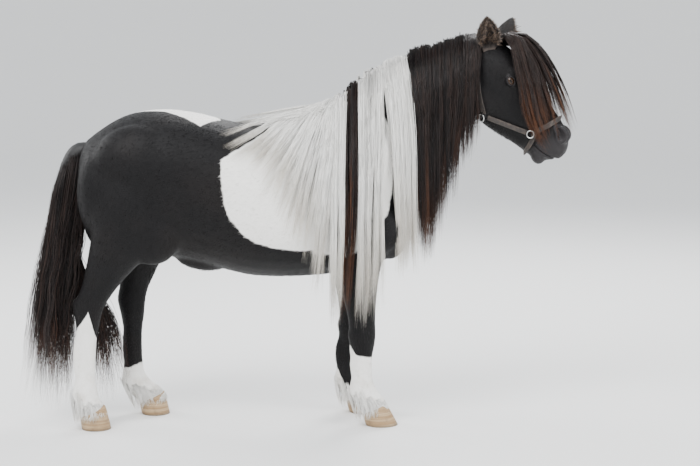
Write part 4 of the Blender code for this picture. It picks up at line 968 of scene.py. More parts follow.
def tuft_piece(name, roots, normals, ways, length, width, lift, curl, uv, shift, finish):
    """One piece of short tufts."""
    count = len(roots)
    points, faces = blades(roots, normals, ways, length, width, lift, curl)
    piece = array_mesh(name, points, faces, shift)
    put_attribute(piece.data, "root", np.repeat(roots, 7, axis=0))
    put_attribute(piece.data, "luck", np.repeat(RNG.random(count), 7))
    patch = uv[:, None] + BLADE_PATCH[None] * PATCH
    put_uv(piece.data, np.clip(patch, 0.002, 0.998).reshape(-1, 2))
    piece.data.materials.append(finish)
    return piece


def build_coat(skin, shift, total):
    """Short tufts over the skin, in pieces by place."""
    mesh = skin.data
    naked = numbers(mesh.attributes["naked"].data, "value", 1)[:, 0]

    def weight(centre, index):
        return coat_sizes(centre, to_head(centre), naked[index].max(axis=1))[2]

    roots, facing, uv = scattered(mesh, total, weight)
    local = to_head(roots)
    length, width, _ = coat_sizes(roots, local, np.zeros(total))
    ways = unit(lie_of_coat(roots, local)) + RNG.normal(0, 0.11, (total, 3))
    ways[:, 2] += np.sin(roots @ np.array((31.0, 23.0, 27.0))) * 0.10
    length = length * RNG.uniform(0.7, 1.25, total)
    width = width * RNG.uniform(0.8, 1.2, total)
    lift = np.radians(RNG.uniform(2, 9, total))
    curl = RNG.uniform(0.0, 0.14, total)
    head = (local[:, 0] > -0.02) & (roots[:, 0] > 0.5)
    zone = np.where(roots[:, 2] < 0.50, np.where(roots[:, 0] > -0.2, 3, 4),
                    np.where(head, 0, np.where(roots[:, 0] > 0.16, 1, np.where(roots[:, 0] < -0.32, 5, 2))))
    pieces = []
    for number, (name, _) in enumerate(COAT_ZONES):
        mine = np.nonzero(zone == number)[0]
        for start in range(0, len(mine), 19500):
            some = mine[start:start + 19500]
            label = name if len(mine) <= 19500 else name + "_" + str(start // 19500 + 1)
            piece = tuft_piece(label, roots[some], facing[some], ways[some], length[some],
                               width[some], lift[some], curl[some], uv[some], shift, coat_material())
            pieces.append((piece, number))
    return pieces


COAT_ZONES = (("coat_head", ("head",)), ("coat_neck", ("neck",)), ("coat_barrel", ("torso",)),
              ("coat_fore_legs", ("leg_fore_left", "leg_fore_right")),
              ("coat_hind_legs", ("leg_hind_left", "leg_hind_right")), ("coat_haunch", ("torso",)))


# Long hair

class Hair:
    """Collects hairs as arrays and makes pieces of them."""

    def __init__(self, name):
        self.name, self.points, self.faces = name, [], []
        self.hair, self.tint, self.uv, self.count = [], [], [], 0

    def clump(self, path, across, out, strands, spread, depth, radius, tint, place, close=0.22, frizz=0.0022,
              short=0.82, crimp=(0.0, 1.0)):
        """Hairs that start spread round a path and draw together at its tip."""
        path, across, out = (np.asarray(v, float) for v in (path, across, out))
        steps = len(path)
        share = np.linspace(0, 1, steps)
        a = np.clip(RNG.normal(0, 0.45, strands), -1, 1)
        b = RNG.random(strands)
        reach = RNG.uniform(short, 1.0, strands)
        # each hair samples the path up to its own reach
        at = share[None] * reach[:, None] * (steps - 1)
        low = np.minimum(at.astype(int), steps - 2)
        rest = (at - low)[..., None]
        line = path[low] * (1 - rest) + path[low + 1] * rest
        side = across[low] * (1 - rest) + across[low + 1] * rest
        up = out[low] * (1 - rest) + out[low + 1] * rest
        envelope = (1 - (1 - close) * smooth(0.25, 1.0, share))[None, :, None]
        phase = RNG.uniform(0, 6.28, (strands, 1))
        pace = RNG.uniform(3.0, 6.5, (strands, 1))
        ripple = np.sin(phase + pace * share[None]) * frizz * (0.3 + share[None])
        turn = RNG.uniform(0, 6.28) + RNG.normal(0, 0.5, (strands, 1))
        turn = turn + crimp[1] * 6.28 * share[None] * reach[:, None]
        ripple = ripple + np.sin(turn) * crimp[0] * smooth(0.05, 0.5, share)[None]
        stray = RNG.normal(0, 0.5, (strands, 1)) * frizz * 3.0 * share[None] ** 2
        line = line + side * (a[:, None, None] * spread * envelope + (ripple + stray)[..., None])
        line = line + up * (b[:, None, None] * depth * envelope)
        # cross-section: a flat triangle
        girth = radius * (0.75 + 0.5 * RNG.random((strands, 1))) * (1 - smooth(0.55, 1.0, share) * 0.94)[None]
        girth = girth * (0.55 + 0.45 * smooth(0.0, 0.12, share))[None]
        corners = []
        for wide, thick in ((-1.0, -0.25), (1.0, -0.25), (0.0, 0.45)):
            corners.append(line + side * (girth * wide)[..., None] + up * (girth * thick)[..., None])
        points = np.stack(corners, axis=2)
        base = self.count + (np.arange(strands) * steps * 3)[:, None, None, None]
        row = (np.arange(steps - 1) * 3)[None, :, None, None]
        pattern = np.array(((0, 1, 4), (0, 4, 3), (1, 2, 5), (1, 5, 4), (2, 0, 3), (2, 3, 5)))[None, None]
        faces = (base + row + pattern).reshape(-1, 3)
        caps = (base[:, 0, 0, 0][:, None] + np.array((0, 2, 1))[None],
                base[:, 0, 0, 0][:, None] + (steps - 1) * 3 + np.array((0, 1, 2))[None])
        self.points.append(points.reshape(-1, 3))
        self.faces.append(faces)
        self.faces.extend(caps)
        self.count += strands * steps * 3
        luck = RNG.random(strands)
        lock_luck = np.full(strands, RNG.random())
        hair = np.stack([np.broadcast_to(share[None, :, None] * reach[:, None, None], (strands, steps, 3)),
                         np.broadcast_to(luck[:, None, None], (strands, steps, 3)),
                         np.broadcast_to(lock_luck[:, None, None], (strands, steps, 3))], axis=-1)
        self.hair.append(hair.reshape(-1, 3))
        tint = np.broadcast_to(np.asarray(tint, float), (strands, 3)).copy()
        tint[:, 0] = np.clip(tint[:, 0] + RNG.normal(0, 0.05, strands) * (tint[:, 0] > 0.1), 0, 1)
        self.tint.append(np.repeat(tint, steps * 3, axis=0))
        spot = np.asarray(place, float)[None] + RNG.uniform(-0.004, 0.004, (strands, 2))
        patch = np.stack([np.broadcast_to(np.array((-0.5, 0.5, 0.0))[None], (steps, 3)),
                          np.broadcast_to((share - 0.5)[:, None], (steps, 3))], axis=-1) * PATCH
        self.uv.append((spot[:, None, None] + patch[None]).reshape(-1, 2))

    def pieces(self, shift, clear=None):
        """Objects of under 200,000 triangles each."""
        points, hair, tint, uv = (np.concatenate(v) for v in (self.points, self.hair, self.tint, self.uv))
        faces = np.concatenate(self.faces)
        if clear is not None:
            points = clear(points)
        owner = faces[:, 0]
        order = np.argsort(owner, kind="stable")
        faces = faces[order]
        parts = max(1, math.ceil(len(faces) / 180000))
        made = []
        limits = [0]
        for k in range(1, parts):
            limits.append(self.hair_start(faces[int(len(faces) * k / parts), 0]))
        limits.append(len(points))
        for k in range(parts):
            low, high = limits[k], limits[k + 1]
            mine = faces[(faces[:, 0] >= low) & (faces[:, 0] < high)] - low
            label = self.name if parts == 1 else self.name + "_" + str(k + 1)
            piece = array_mesh(label, points[low:high], mine, shift)
            put_attribute(piece.data, "hair", hair[low:high])
            put_attribute(piece.data, "tint", tint[low:high])
            put_uv(piece.data, np.clip(uv[low:high], 0.004, 0.996))
            piece.data.materials.append(long_hair_material())
            made.append(piece)
        return made

    def hair_start(self, index):
        """The first point of the clump that holds a point, so that no clump is split."""
        start = 0
        for block in self.points:
            if start + len(block) > index:
                return start
            start += len(block)
        return start

# Guides of the long hair

CREST = np.array(catmull_rom([(0.02, 0.976), (0.10, 0.992), (0.215, 1.056), (0.31, 1.106), (0.40, 1.149),
                              (0.48, 1.180), (0.545, 1.198)], 8))
# Rows along the crest from the withers: root x, tip x, tip z
MANE_TIPS = {
    "dark": ((0.322, 0.352, 0.560), (0.345, 0.366, 0.535), (0.375, 0.378, 0.520), (0.405, 0.396, 0.545),
             (0.435, 0.415, 0.620), (0.465, 0.440, 0.700), (0.495, 0.475, 0.775), (0.518, 0.512, 0.850),
             (0.538, 0.526, 0.960)),
    "front": ((0.244, 0.290, 0.480), (0.262, 0.304, 0.500), (0.285, 0.322, 0.510), (0.312, 0.346, 0.500)),
    "thin": ((0.220, 0.204, 0.380), (0.236, 0.222, 0.390)),
    "grey": ((0.194, 0.180, 0.330), (0.216, 0.200, 0.340)),
    "middle": ((0.166, 0.150, 0.310), (0.192, 0.174, 0.330)),
    "stripe": ((0.124, 0.104, 0.350), (0.142, 0.122, 0.340), (0.160, 0.140, 0.350)),
    "rear": ((0.088, 0.066, 0.330), (0.104, 0.080, 0.320), (0.122, 0.100, 0.335)),
    "withers": ((0.020, -0.262, 0.885), (0.035, -0.225, 0.860), (0.050, -0.175, 0.800),
                (0.065, -0.120, 0.720),
                (0.080, -0.060, 0.620), (0.095, 0.000, 0.500), (0.105, 0.035, 0.400)),
}
# Paths of the forelock in the head's frame: from over the near cheek to over the far cheek
FORELOCK_PATHS = (
    ((0.012, -0.012, 0.040), (0.050, -0.050, 0.078), (0.122, -0.084, 0.046), (0.198, -0.094, 0.008),
     (0.290, -0.086, -0.042), (0.402, -0.068, -0.062)),
    ((0.012, -0.008, 0.044), (0.052, -0.034, 0.098), (0.120, -0.066, 0.090), (0.205, -0.080, 0.060),
     (0.295, -0.074, 0.018), (0.385, -0.066, -0.022)),
    ((0.012, 0.000, 0.046), (0.052, 0.000, 0.106), (0.125, 0.004, 0.124), (0.205, 0.010, 0.119),
     (0.310, 0.014, 0.096), (0.412, 0.018, 0.058)),
    ((0.012, 0.008, 0.044), (0.052, 0.034, 0.098), (0.120, 0.062, 0.104), (0.205, 0.076, 0.086),
     (0.300, 0.078, 0.054), (0.398, 0.068, 0.026)),
    ((0.012, 0.012, 0.040), (0.050, 0.048, 0.078), (0.120, 0.082, 0.052), (0.200, 0.090, 0.014),
     (0.290, 0.082, -0.028), (0.375, 0.070, -0.042)),
)
TAIL_CORE = ((-0.660, 0.858, 0.034), (-0.708, 0.864, 0.036), (-0.736, 0.830, 0.037), (-0.754, 0.765, 0.037),
             (-0.768, 0.680, 0.035), (-0.778, 0.590, 0.030), (-0.784, 0.510, 0.018))
# Tail hair: how far round the dock it starts (0 behind, 180 in front), how far down, and its tip
TAIL_ROWS = (
    (0, 0.20, -0.886, 0.000, 0.150), (22, 0.30, -0.888, 0.042, 0.080), (-22, 0.30, -0.888, -0.044, 0.090),
    (45, 0.22, -0.862, 0.082, 0.055), (-45, 0.22, -0.866, -0.080, 0.060), (8, 0.50, -0.852, 0.014, 0.044),
    (70, 0.34, -0.824, 0.106, 0.070), (-70, 0.34, -0.826, -0.104, 0.064), (-20, 0.60, -0.830, -0.034, 0.042),
    (30, 0.60, -0.820, 0.050, 0.044), (95, 0.26, -0.790, 0.094, 0.052), (-95, 0.26, -0.792, -0.090, 0.056),
    (-55, 0.48, -0.800, -0.062, 0.044), (62, 0.48, -0.796, 0.066, 0.048), (180, 0.70, -0.776, 0.006, 0.050),
    (-130, 0.40, -0.764, -0.044, 0.056), (130, 0.40, -0.762, 0.046, 0.054),
)
TAIL_FORWARD = (
    (-0.026, -0.668, -0.030, 0.070), (-0.010, -0.640, -0.012, 0.062), (0.006, -0.612, 0.006, 0.074),
    (0.020, -0.655, 0.026, 0.090), (0.030, -0.585, 0.022, 0.104),
)


def even(rows, count):
    """Rows resampled at equal steps along their first three columns."""
    rows = np.array(rows, float)
    gaps = np.r_[0, np.cumsum(np.linalg.norm(np.diff(rows[:, :3], axis=0), axis=1))]
    at = np.linspace(0, gaps[-1], count)
    return np.stack([np.interp(at, gaps, rows[:, k]) for k in range(rows.shape[1])], axis=1)


def guided(hair, points, outs, steps, strands, spread, depth, radius, tint, place, **more):
    """Adds a clump along a smooth path through points, with its flat side to outs."""
    rows = [(*p, *o) for p, o in zip(points, outs)]
    rows = even(catmull_rom(rows, 5), steps)
    path = rows[:, :3]
    along = unit(np.gradient(path, axis=0))
    out = rows[:, 3:]
    out = unit(out - along * np.sum(out * along, axis=1)[:, None])
    hair.clump(path, np.cross(along, out), out, strands, spread, depth, radius, tint, place, **more)


def hang(tree, top, tip, side, rest, steps=9, wave=0.0, phase=0.0):
    """Points from the crest over the side of the body, then hanging free."""
    points = []
    reach = abs(top[1])
    for k in range(steps):
        share = k / (steps - 1)
        x = top[0] + (tip[0] - top[0]) * share ** 0.85 + wave * math.sin(phase + 7.0 * share) * share
        z = top[2] + (tip[1] - top[2]) * share ** 1.25
        hit = tree.ray_cast(Vector((x, side * 0.7, z)), Vector((0, -side, 0)), 0.7)[0]
        skin = abs(hit.y) if hit is not None and hit.y * side > 0 else 0.0
        drop = points[-1][2] - z if k else 0.0
        reach = max(skin + rest if k else reach, reach - 0.10 * drop)
        points.append((x, side * reach, z))
    return points


# How high the mane stands on the crest, by x
MANE_RISE = ((0.03, 0.08, 0.147, 0.213, 0.285, 0.36, 0.467, 0.54),
             (0.010, 0.022, 0.046, 0.050, 0.042, 0.040, 0.024, 0.010))


def mane_tint(kind):
    """Whiteness, rust at the tips and brown of one lock of the mane."""
    if kind == "dark":
        return 0.0, RNG.uniform(0.0, 0.40), RNG.uniform(0.0, 0.80) ** 1.5
    if kind == "stripe":
        return 0.0, RNG.uniform(0.35, 0.85), RNG.uniform(0.1, 0.9)
    if kind == "grey":
        return RNG.uniform(0.45, 0.95), 0.2, 0.2
    return RNG.uniform(0.85, 1.0), RNG.uniform(0.0, 0.7), 0.3


def comb_mane(hair, side, map_of_skin, plan, strands):
    """The mane on one side of the crest."""
    for kind, count, shorten in plan:
        rows = np.array(MANE_TIPS[kind])
        for k in range(count):
            at = (len(rows) - 1) * (k + RNG.uniform(-0.4, 0.4)) / max(count - 1, 1)
            at = np.clip(at, 0, len(rows) - 1.001)
            root_x, tip_x, tip_z = rows[int(at)] + (rows[int(at) + 1] - rows[int(at)]) * (at % 1)
            level = RNG.random()
            crest = np.interp(root_x, CREST[:, 0], CREST[:, 1])
            tip_z += shorten * (crest - tip_z) + RNG.uniform(-0.03, 0.05)
            tip_x += RNG.normal(0, 0.006)
            high = crest + np.interp(root_x, *MANE_RISE) + 0.022 * level
            root = (root_x, side * 0.004, crest - 0.012)
            rise = (root_x, side * 0.008, high)
            top = (root_x, side * (0.034 - 0.006 * level), high - 0.010)
            points = hang(map_of_skin.tree, top, (tip_x, tip_z), side, 0.003 + 0.026 * level, 9,
                          0.006, RNG.uniform(0, 6))
            points = [root, rise] + points
            outs = [(0, side * 0.4, 1.0), (0, side * 0.8, 0.8)] + [(0, side, 0.3)] * (len(points) - 2)
            guided(hair, points, outs, HAIR_STEPS, strands,
                   0.012 if kind in ("dark", "front", "withers") else 0.007,
                   0.006, 0.00072, mane_tint(kind),
                   map_of_skin.at(root), frizz=0.0022, short=0.86)


def comb_forelock(hair, map_of_skin, count, strands):
    """The forelock from the poll over the face."""
    back = np.array(HEAD)
    paths = np.array(FORELOCK_PATHS)
    for k in range(count):
        at = np.clip(4.0 * (k + RNG.uniform(-0.5, 0.5)) / (count - 1), 0, 3.999)
        rows = paths[int(at)] + (paths[int(at) + 1] - paths[int(at)]) * (at % 1)
        level = RNG.random()
        rows = rows.copy()
        rows[:, 0] = 0.012 + (rows[:, 0] - 0.012) * RNG.uniform(0.80, 1.02)
        out = unit(np.stack([np.full(6, 0.1), 12 * rows[:, 1], np.ones(6)], axis=1))
        rows += out * (np.minimum(1, np.arange(6)) * (0.024 * level - 0.016))[:, None]
        rows[:, 1] += RNG.normal(0, 0.004, 6) * np.arange(6) / 5
        spots = rows @ back[:3, :3].T + back[:3, 3]
        outer = abs(at - 2) / 2
        tint = (0.0, RNG.uniform(0.30, 1.0) * (0.55 + 0.45 * outer), RNG.uniform(0.3, 1.0))
        guided(hair, spots, out @ HEAD_TURN.T, HAIR_STEPS, strands, 0.012, 0.006, 0.0007, tint,
               map_of_skin.at(spots[0]), frizz=0.0026, crimp=(0.0012, 2.5))


def comb_tail(hair, map_of_skin, each, strands):
    """The tail from round the dock."""
    core = np.array(catmull_rom(TAIL_CORE, 4))
    for angle, start, tx, ty, tz in TAIL_ROWS:
        for k in range(each):
            turn = math.radians(angle + RNG.uniform(-16, 16))
            first = np.clip(start + RNG.uniform(-0.20, 0.10), 0.02, 0.95)
            x, z, radius = core[int(first * (len(core) - 1))]
            out = np.array((-math.cos(turn), math.sin(turn), 0))
            tip = np.array((tx, ty, tz)) + RNG.normal(0, 1, 3) * (0.010, 0.012, 0.022)
            tip[2] = max(tip[2], 0.05)
            root = np.array((x, 0, z)) + out * radius * 0.5
            bulge = np.array((x - 0.012, 0, z - 0.11)) + out * (0.038, 0.050, 0)
            middle = bulge + (tip - bulge) * 0.45 + (-0.012 + RNG.uniform(-0.012, 0.010), 0, 0)
            near = bulge + (tip - bulge) * 0.78 + (RNG.uniform(-0.014, 0.008), RNG.uniform(-0.010, 0.010), 0)
            tint = (0.0, RNG.uniform(0.0, 0.45), RNG.uniform(0.0, 0.9))
            guided(hair, [root, bulge, middle, near, tip], [out + (-0.3, 0, 0.2)] * 5, 28, strands,
                   0.018, 0.012, 0.00085, tint, map_of_skin.at(root), frizz=0.0050, close=0.7, short=0.80,
                   crimp=(0.0042, RNG.uniform(5, 7)))


def comb_tail_front(hair, map_of_skin, each, strands):
    """The part of the tail that swings forward between the hind legs."""
    for sy, tx, ty, tz in TAIL_FORWARD:
        for k in range(each):
            sway = RNG.normal(0, 0.006, 2)
            points = np.array(((-0.750, sy, 0.740), (-0.748, sy * 1.3, 0.600), (-0.722, sy * 1.2, 0.470),
                               (-0.655 + (tx + 0.63) * 0.6, ty, 0.330),
                               (tx - 0.008, ty, 0.190), (tx, ty, tz)))
            points[1:, 0] += sway[0] * np.arange(1, 6) / 3
            points[1:, 1] += sway[1]
            tint = (0.0, RNG.uniform(0.0, 0.45), RNG.uniform(0.0, 0.9))
            guided(hair, points, [(0, 1.0, 0)] * 6, 26, strands, 0.020, 0.010, 0.00085, tint,
                   map_of_skin.at(points[0]), frizz=0.0050, close=0.7, crimp=(0.0040, RNG.uniform(5, 7)))


def comb_feather(hair, kind, name, side, map_of_skin, count, strands):
    """Long hair round the fetlock and the coronet, longest behind the heel."""
    joints = FORE_JOINTS if kind == "fore" else HIND_JOINTS
    fetlock, coronet = (np.array(joints[name][k]) * (1, side, 1) for k in (3, 4))
    for k in range(count):
        turn = 2 * math.pi * (k + RNG.uniform(-0.4, 0.4)) / count
        back = (1 + math.cos(turn)) / 2
        out = np.array((-math.cos(turn), 0.9 * math.sin(turn), 0))
        high = RNG.uniform(0.0, 1.0)
        start = fetlock + (coronet - fetlock) * (0.80 - 1.0 * back * high - 0.1 * high)
        root = start + out * 0.034
        knee = start + (coronet - fetlock) * 0.34 + out * (0.039 + 0.008 * back)
        tip = coronet + out * (0.046 + 0.010 * back + RNG.uniform(-0.002, 0.002))
        tip[2] = 0.046 - 0.030 * back ** 0.7 + RNG.uniform(-0.004, 0.005)
        middle = knee + (tip - knee) * 0.55 + out * 0.003
        guided(hair, [root, knee, middle, tip], [out] * 4, 7, strands, 0.009, 0.004, 0.0006,
               (RNG.uniform(0.9, 1.0), RNG.uniform(0.0, 0.5), 0.3),
               map_of_skin.at(root), frizz=0.0012, close=0.5)


# Head parts

EARS = {
    "right": (Vector((0.020, 0.048, 0.006)), Vector((-0.058, 0.074, 0.067)), Vector((0.35, 0.95, 0.10))),
    "left": (Vector((0.024, 0.046, 0.022)), Vector((-0.008, 0.062, 0.116)), Vector((0.80, 0.60, 0.0))),
}


def ear_shell(name, side):
    """A cupped ear with a smooth wall that closes into a tip, and which of its points lie inside."""
    base, tip, opening = (Vector((v.x, side * v.y, v.z)) for v in EARS[name])
    axis = tip - base
    up = axis.normalized()
    front = (opening - up * opening.dot(up)).normalized()
    across = up.cross(front).normalized()
    levels = catmull_rom(((-0.16, 0.62, 0.0), (0.05, 0.80, 0.10), (0.22, 0.97, 0.60), (0.42, 1.0, 0.92),
                          (0.62, 0.84, 1.0), (0.80, 0.56, 1.0), (0.93, 0.28, 0.9), (0.985, 0.10, 0.6)), 5)
    rings = []
    for share, width, cup in levels:
        cup = min(max(cup, 0), 1)
        half = 0.037 * width - 0.0012
        centre = base + axis * share + front * (0.010 * math.sin(math.pi * max(share, 0)))
        ring = []
        for k in range(25):
            angle = math.radians(-125 + 250 * k / 24)
            ring.append(centre - front * (half * 0.72 * math.cos(angle)) + across * (half * math.sin(angle)))
        wall = min(0.0030, half * 0.4)
        for k in range(19):
            angle = math.radians(120 - 240 * k / 18)
            inner = (-front * ((half * 0.72 - wall) * math.cos(angle))
                     + across * ((half - wall) * math.sin(angle)))
            lid = front * (half * 0.62) + across * (half * 0.74 * (1 - k / 9))
            ring.append(centre + lid.lerp(inner, cup))
        rings.append(ring)
    rings.append([tip + (p - rings[-1][0]) * 0.03 for p in rings[-1]])
    shell = loft("ear_shell_" + name, rings)
    shell.data.shade_smooth()
    inside = np.array([[1.0 if k >= 25 else 0.0 for k in range(44)] for _ in rings]).ravel()
    return shell, (base, axis, front), inside


def build_ear(name, side, shift, map_of_skin):
    """The ear with short dark hair outside and longer brown hair inside."""
    shell, (base, axis, front), inside = ear_shell(name, side)
    mesh = shell.data
    mark = np.zeros(len(mesh.vertices))
    mark[:len(inside)] = inside[:len(mark)]
    put_attribute(mesh, "inside", mark)

    def make():
        inner = attribute("inside", "Fac")
        place = S.node("ShaderNodeTexCoord", {}, {}, "Object")
        colour = mixed(inner, BLACK, (0.040, 0.027, 0.021))
        return {"Base Color": colour, "Roughness": 0.55, "Normal": bumped(noise(place, 600.0), 0.0008)}
    mesh.materials.append(material("pony ear", make))

    total = 5200
    roots, facing, _ = scattered(mesh, total, lambda centre, index: 1.0 + 0.6 * mark[index].mean(axis=1))
    height = (roots - np.array(base)) @ np.array(axis) / axis.length_squared
    off = roots - np.array(base) - height[:, None] * np.array(axis)
    inner = np.sum(off * facing, axis=1) < 0
    keep = height > 0.02
    length = np.where(inner, RNG.uniform(0.014, 0.034, total), RNG.uniform(0.006, 0.012, total))
    length *= 1 - 0.45 * smooth(0.6, 1.0, height)
    up = np.array(axis.normalized())
    ways = np.where(inner[:, None], up * 0.6 + np.array(front) * 0.9, up) + RNG.normal(0, 0.2, (total, 3))
    lift = np.radians(np.where(inner, RNG.uniform(15, 35, total), RNG.uniform(4, 14, total)))

    def hair_finish():
        luck = attribute("luck", "Fac")
        return {"Base Color": mixed(luck ** 2, (0.014, 0.0105, 0.009), (0.26, 0.18, 0.13)), "Roughness": 0.5}

    def outer_finish():
        luck = attribute("luck", "Fac")
        return {"Base Color": mixed(luck, BLACK, (0.034, 0.025, 0.021)), "Roughness": 0.45}
    place = map_of_skin.at(base)
    pieces = [shell]
    for label, chosen, finish in (("ear_inner_hair_", inner & keep, material("pony ear hair", hair_finish)),
                                  ("ear_coat_", ~inner & keep, material("pony ear coat", outer_finish))):
        uv = place + RNG.uniform(-0.006, 0.006, (int(chosen.sum()), 2))
        pieces.append(tuft_piece(label + name, roots[chosen], facing[chosen], ways[chosen], length[chosen],
                                 length[chosen] * 0.07 + 0.0003, lift[chosen],
                                 RNG.uniform(0, 0.3, int(chosen.sum())),
                                 uv, (0, 0, 0), finish))
    shell.data.transform(HEAD)
    for piece in pieces[1:]:
        piece.data.transform(HEAD)
    for piece in pieces:
        piece.data.transform(Matrix.Translation(shift))
    return pieces


def build_eye(name, side, shift):
    """A dark brown eye with a level pupil under a clear bulge."""
    centre, out, along, up = eye_axes(side)
    bm = bmesh.new()
    bmesh.ops.create_uvsphere(bm, u_segments=64, v_segments=40, radius=1.0)
    turn = Vector(out).to_track_quat("Z", "Y").to_matrix()
    for vert in bm.verts:
        bulge = 0.0009 * math.exp(-((math.degrees(math.acos(max(-1, min(1, vert.co.z)))) / 30) ** 4))
        vert.co = turn @ (vert.co * (EYE_RADIUS - 0.0007 + bulge)) + Vector(centre)
    eye = object_from("eyeball_" + name, bm)
    mesh = eye.data
    points = numbers(mesh.vertices, "co", 3)
    ray = unit(points - centre)
    put_attribute(mesh, "gaze", np.stack([ray @ along, ray @ up, ray @ out], axis=1))

    def make():
        a, b, c = attribute("gaze").parts()
        ring = S.math("SQRT", (a / 0.60) ** 2 + (b / 0.56) ** 2)
        pupil = S.math("SQRT", (a / 0.30) ** 2 + (b / 0.135) ** 2)
        rays = noise(attribute("gaze").stretched((9, 9, 9)), 3.0, 4.0)
        iris = mixed(rays.step(0.3, 0.7), (0.012, 0.006, 0.003), (0.045, 0.021, 0.010))
        iris = mixed(pupil.step(0.90, 1.06), (0.0015, 0.0015, 0.002), iris)
        ball = mixed(ring.step(0.94, 1.06), iris, (0.020, 0.014, 0.012))
        return {"Base Color": ball, "Roughness": 0.34, "Specular IOR Level": 0.15, "Coat Weight": 0.45,
                "Coat Roughness": 0.05, "Coat IOR": 1.38}
    mesh.materials.append(material("pony eye", make))
    mesh.shade_smooth()
    mesh.transform(HEAD)
    mesh.transform(Matrix.Translation(shift))
    return eye


def build_lashes(name, side, shift, map_of_skin):
    """Lashes along the upper lid."""
    centre, out, along, up = eye_axes(side)
    count = 64
    a = np.linspace(-0.52, 0.58, count) + RNG.normal(0, 0.010, count)
    b = 0.56 * (1 - 0.30 * (a / 0.78) ** 2) * np.sqrt(np.clip(1 - (a / 0.80) ** 2, 0, 1)) + 0.02
    c = np.sqrt(np.clip(1 - a ** 2 - b ** 2, 0.05, 1))
    ray = a[:, None] * along + b[:, None] * up + c[:, None] * out
    roots = centre + ray * 0.0212
    ways = out * 0.9 + along * (a[:, None] * 0.7) + up * RNG.uniform(-0.75, -0.30, (count, 1))
    length = RNG.uniform(0.010, 0.015, count)
    normals = unit(up + out * 0.2)[None].repeat(count, axis=0)

    def make():
        return {"Base Color": (0.010, 0.009, 0.009, 1), "Roughness": 0.4}
    uv = map_of_skin.at(HEAD @ Vector(centre)) + RNG.uniform(-0.004, 0.004, (count, 2))
    piece = tuft_piece("lashes_" + name, roots, normals, ways, length, np.full(count, 0.00055),
                       np.radians(RNG.uniform(-5, 5, count)), RNG.uniform(-0.5, -0.2, count), uv, (0, 0, 0),
                       material("pony lashes", make))
    piece.data.transform(HEAD)
    piece.data.transform(Matrix.Translation(shift))
    return piece


# Hooves

HOOVES = {"fore": (0.056, 0.046, 0.049, 0.017), "hind": (0.048, 0.043, 0.045, 0.008)}
HOOF_CROWN = 0.043


def build_hoof(kind, name, side, shift):
    """A hoof with a rounded wall that widens to a flat sole."""
    joints = FORE_JOINTS if kind == "fore" else HIND_JOINTS
    coronet = Vector(joints[name][4])
    centre = Vector((coronet.x, side * coronet.y, coronet.z))
    toe, heel, half, step = HOOVES[kind]
    rings = []
    for share, swell in ((0.0, -0.0012), (0.02, 0.0), (0.2, 0.0004), (0.4, 0.0006), (0.6, 0.0006),
                         (0.8, 0.0004),
                         (0.93, 0.0), (1.0, -0.0008), (1.04, -0.005)):
        ring = []
        for k in range(64):
            angle = 2 * math.pi * k / 64
            across, along = math.sin(angle), math.cos(angle)
            level = share * (1 + 0.28 * along * share)
            forward = step * (1 - level)
            reach = (toe if along > 0 else heel) * (1 - level) + HOOF_CROWN * level + swell
            width = half * (1 - level) + HOOF_CROWN * level + swell
            ring.append(Vector((centre.x + forward + reach * along,
                                centre.y + width * across, centre.z * level)))
        rings.append(ring)
    hoof = loft("hoof_wall_" + kind + "_" + name, rings)
    hoof.data.shade_smooth()

    def make():
        place = S.node("ShaderNodeTexCoord", {}, {}, "Object")
        x, y, z = place.parts()
        rings = noise(place.stretched((6, 6, 260)), 1.0, 2.0)
        grain = noise(place.stretched((900, 900, 60)), 1.0, 2.0)
        colour = mixed(rings.step(0.35, 0.68), (0.30, 0.185, 0.085), (0.46, 0.33, 0.19))
        colour = mixed(noise(place, 40.0).step(0.45, 0.75) * 0.6, colour, (0.17, 0.105, 0.055))
        colour = mixed((0.012 - z).step(0.0, 0.012) * 0.6, colour, (0.13, 0.10, 0.07))
        return {"Base Color": colour, "Roughness": 0.45 + grain * 0.25,
                "Normal": bumped(rings * 1.0 + grain * 0.3, 0.0010, 0.8)}
    hoof.data.materials.append(material("pony hoof", make))
    hoof.data.transform(Matrix.Translation(shift))
    return hoof


# Halter

STRAP_WIDTH = 0.016
STRAP_THICK = 0.0030
STRAP_REST = 0.0046
CHEEK_RING = (0.182, -0.134)
SIDE_RING = (0.316, -0.060)
NOSE_BAND = (0.330, 0.316, 0.348)
RING_RADIUS = 0.0115
RING_WIRE = 0.0019
CHEEK_PIECE = ((0.171, -0.130), (0.112, -0.102), (0.050, -0.062), (0.004, -0.024))


def side_point(tree, x, z, side, rest):
    """The place on the side of the head at x, z, lifted off the skin by rest."""
    hit, normal, _, _ = tree.ray_cast(Vector((x, side * 0.4, z)), Vector((0, -side, 0)))
    if hit is None:
        hit, normal, _, _ = tree.find_nearest(Vector((x, side * 0.06, z)))
    return hit + normal * rest, normal


def around_point(tree, x, z, angle, rest):
    """The place on the head's skin seen from an axis at x, z, at an angle from the forehead."""
    ray = Vector((0, math.sin(angle), math.cos(angle)))
    hit, normal, _, _ = tree.ray_cast(Vector((x, 0, z)) + ray * 0.4, -ray)
    return hit + normal * rest, normal


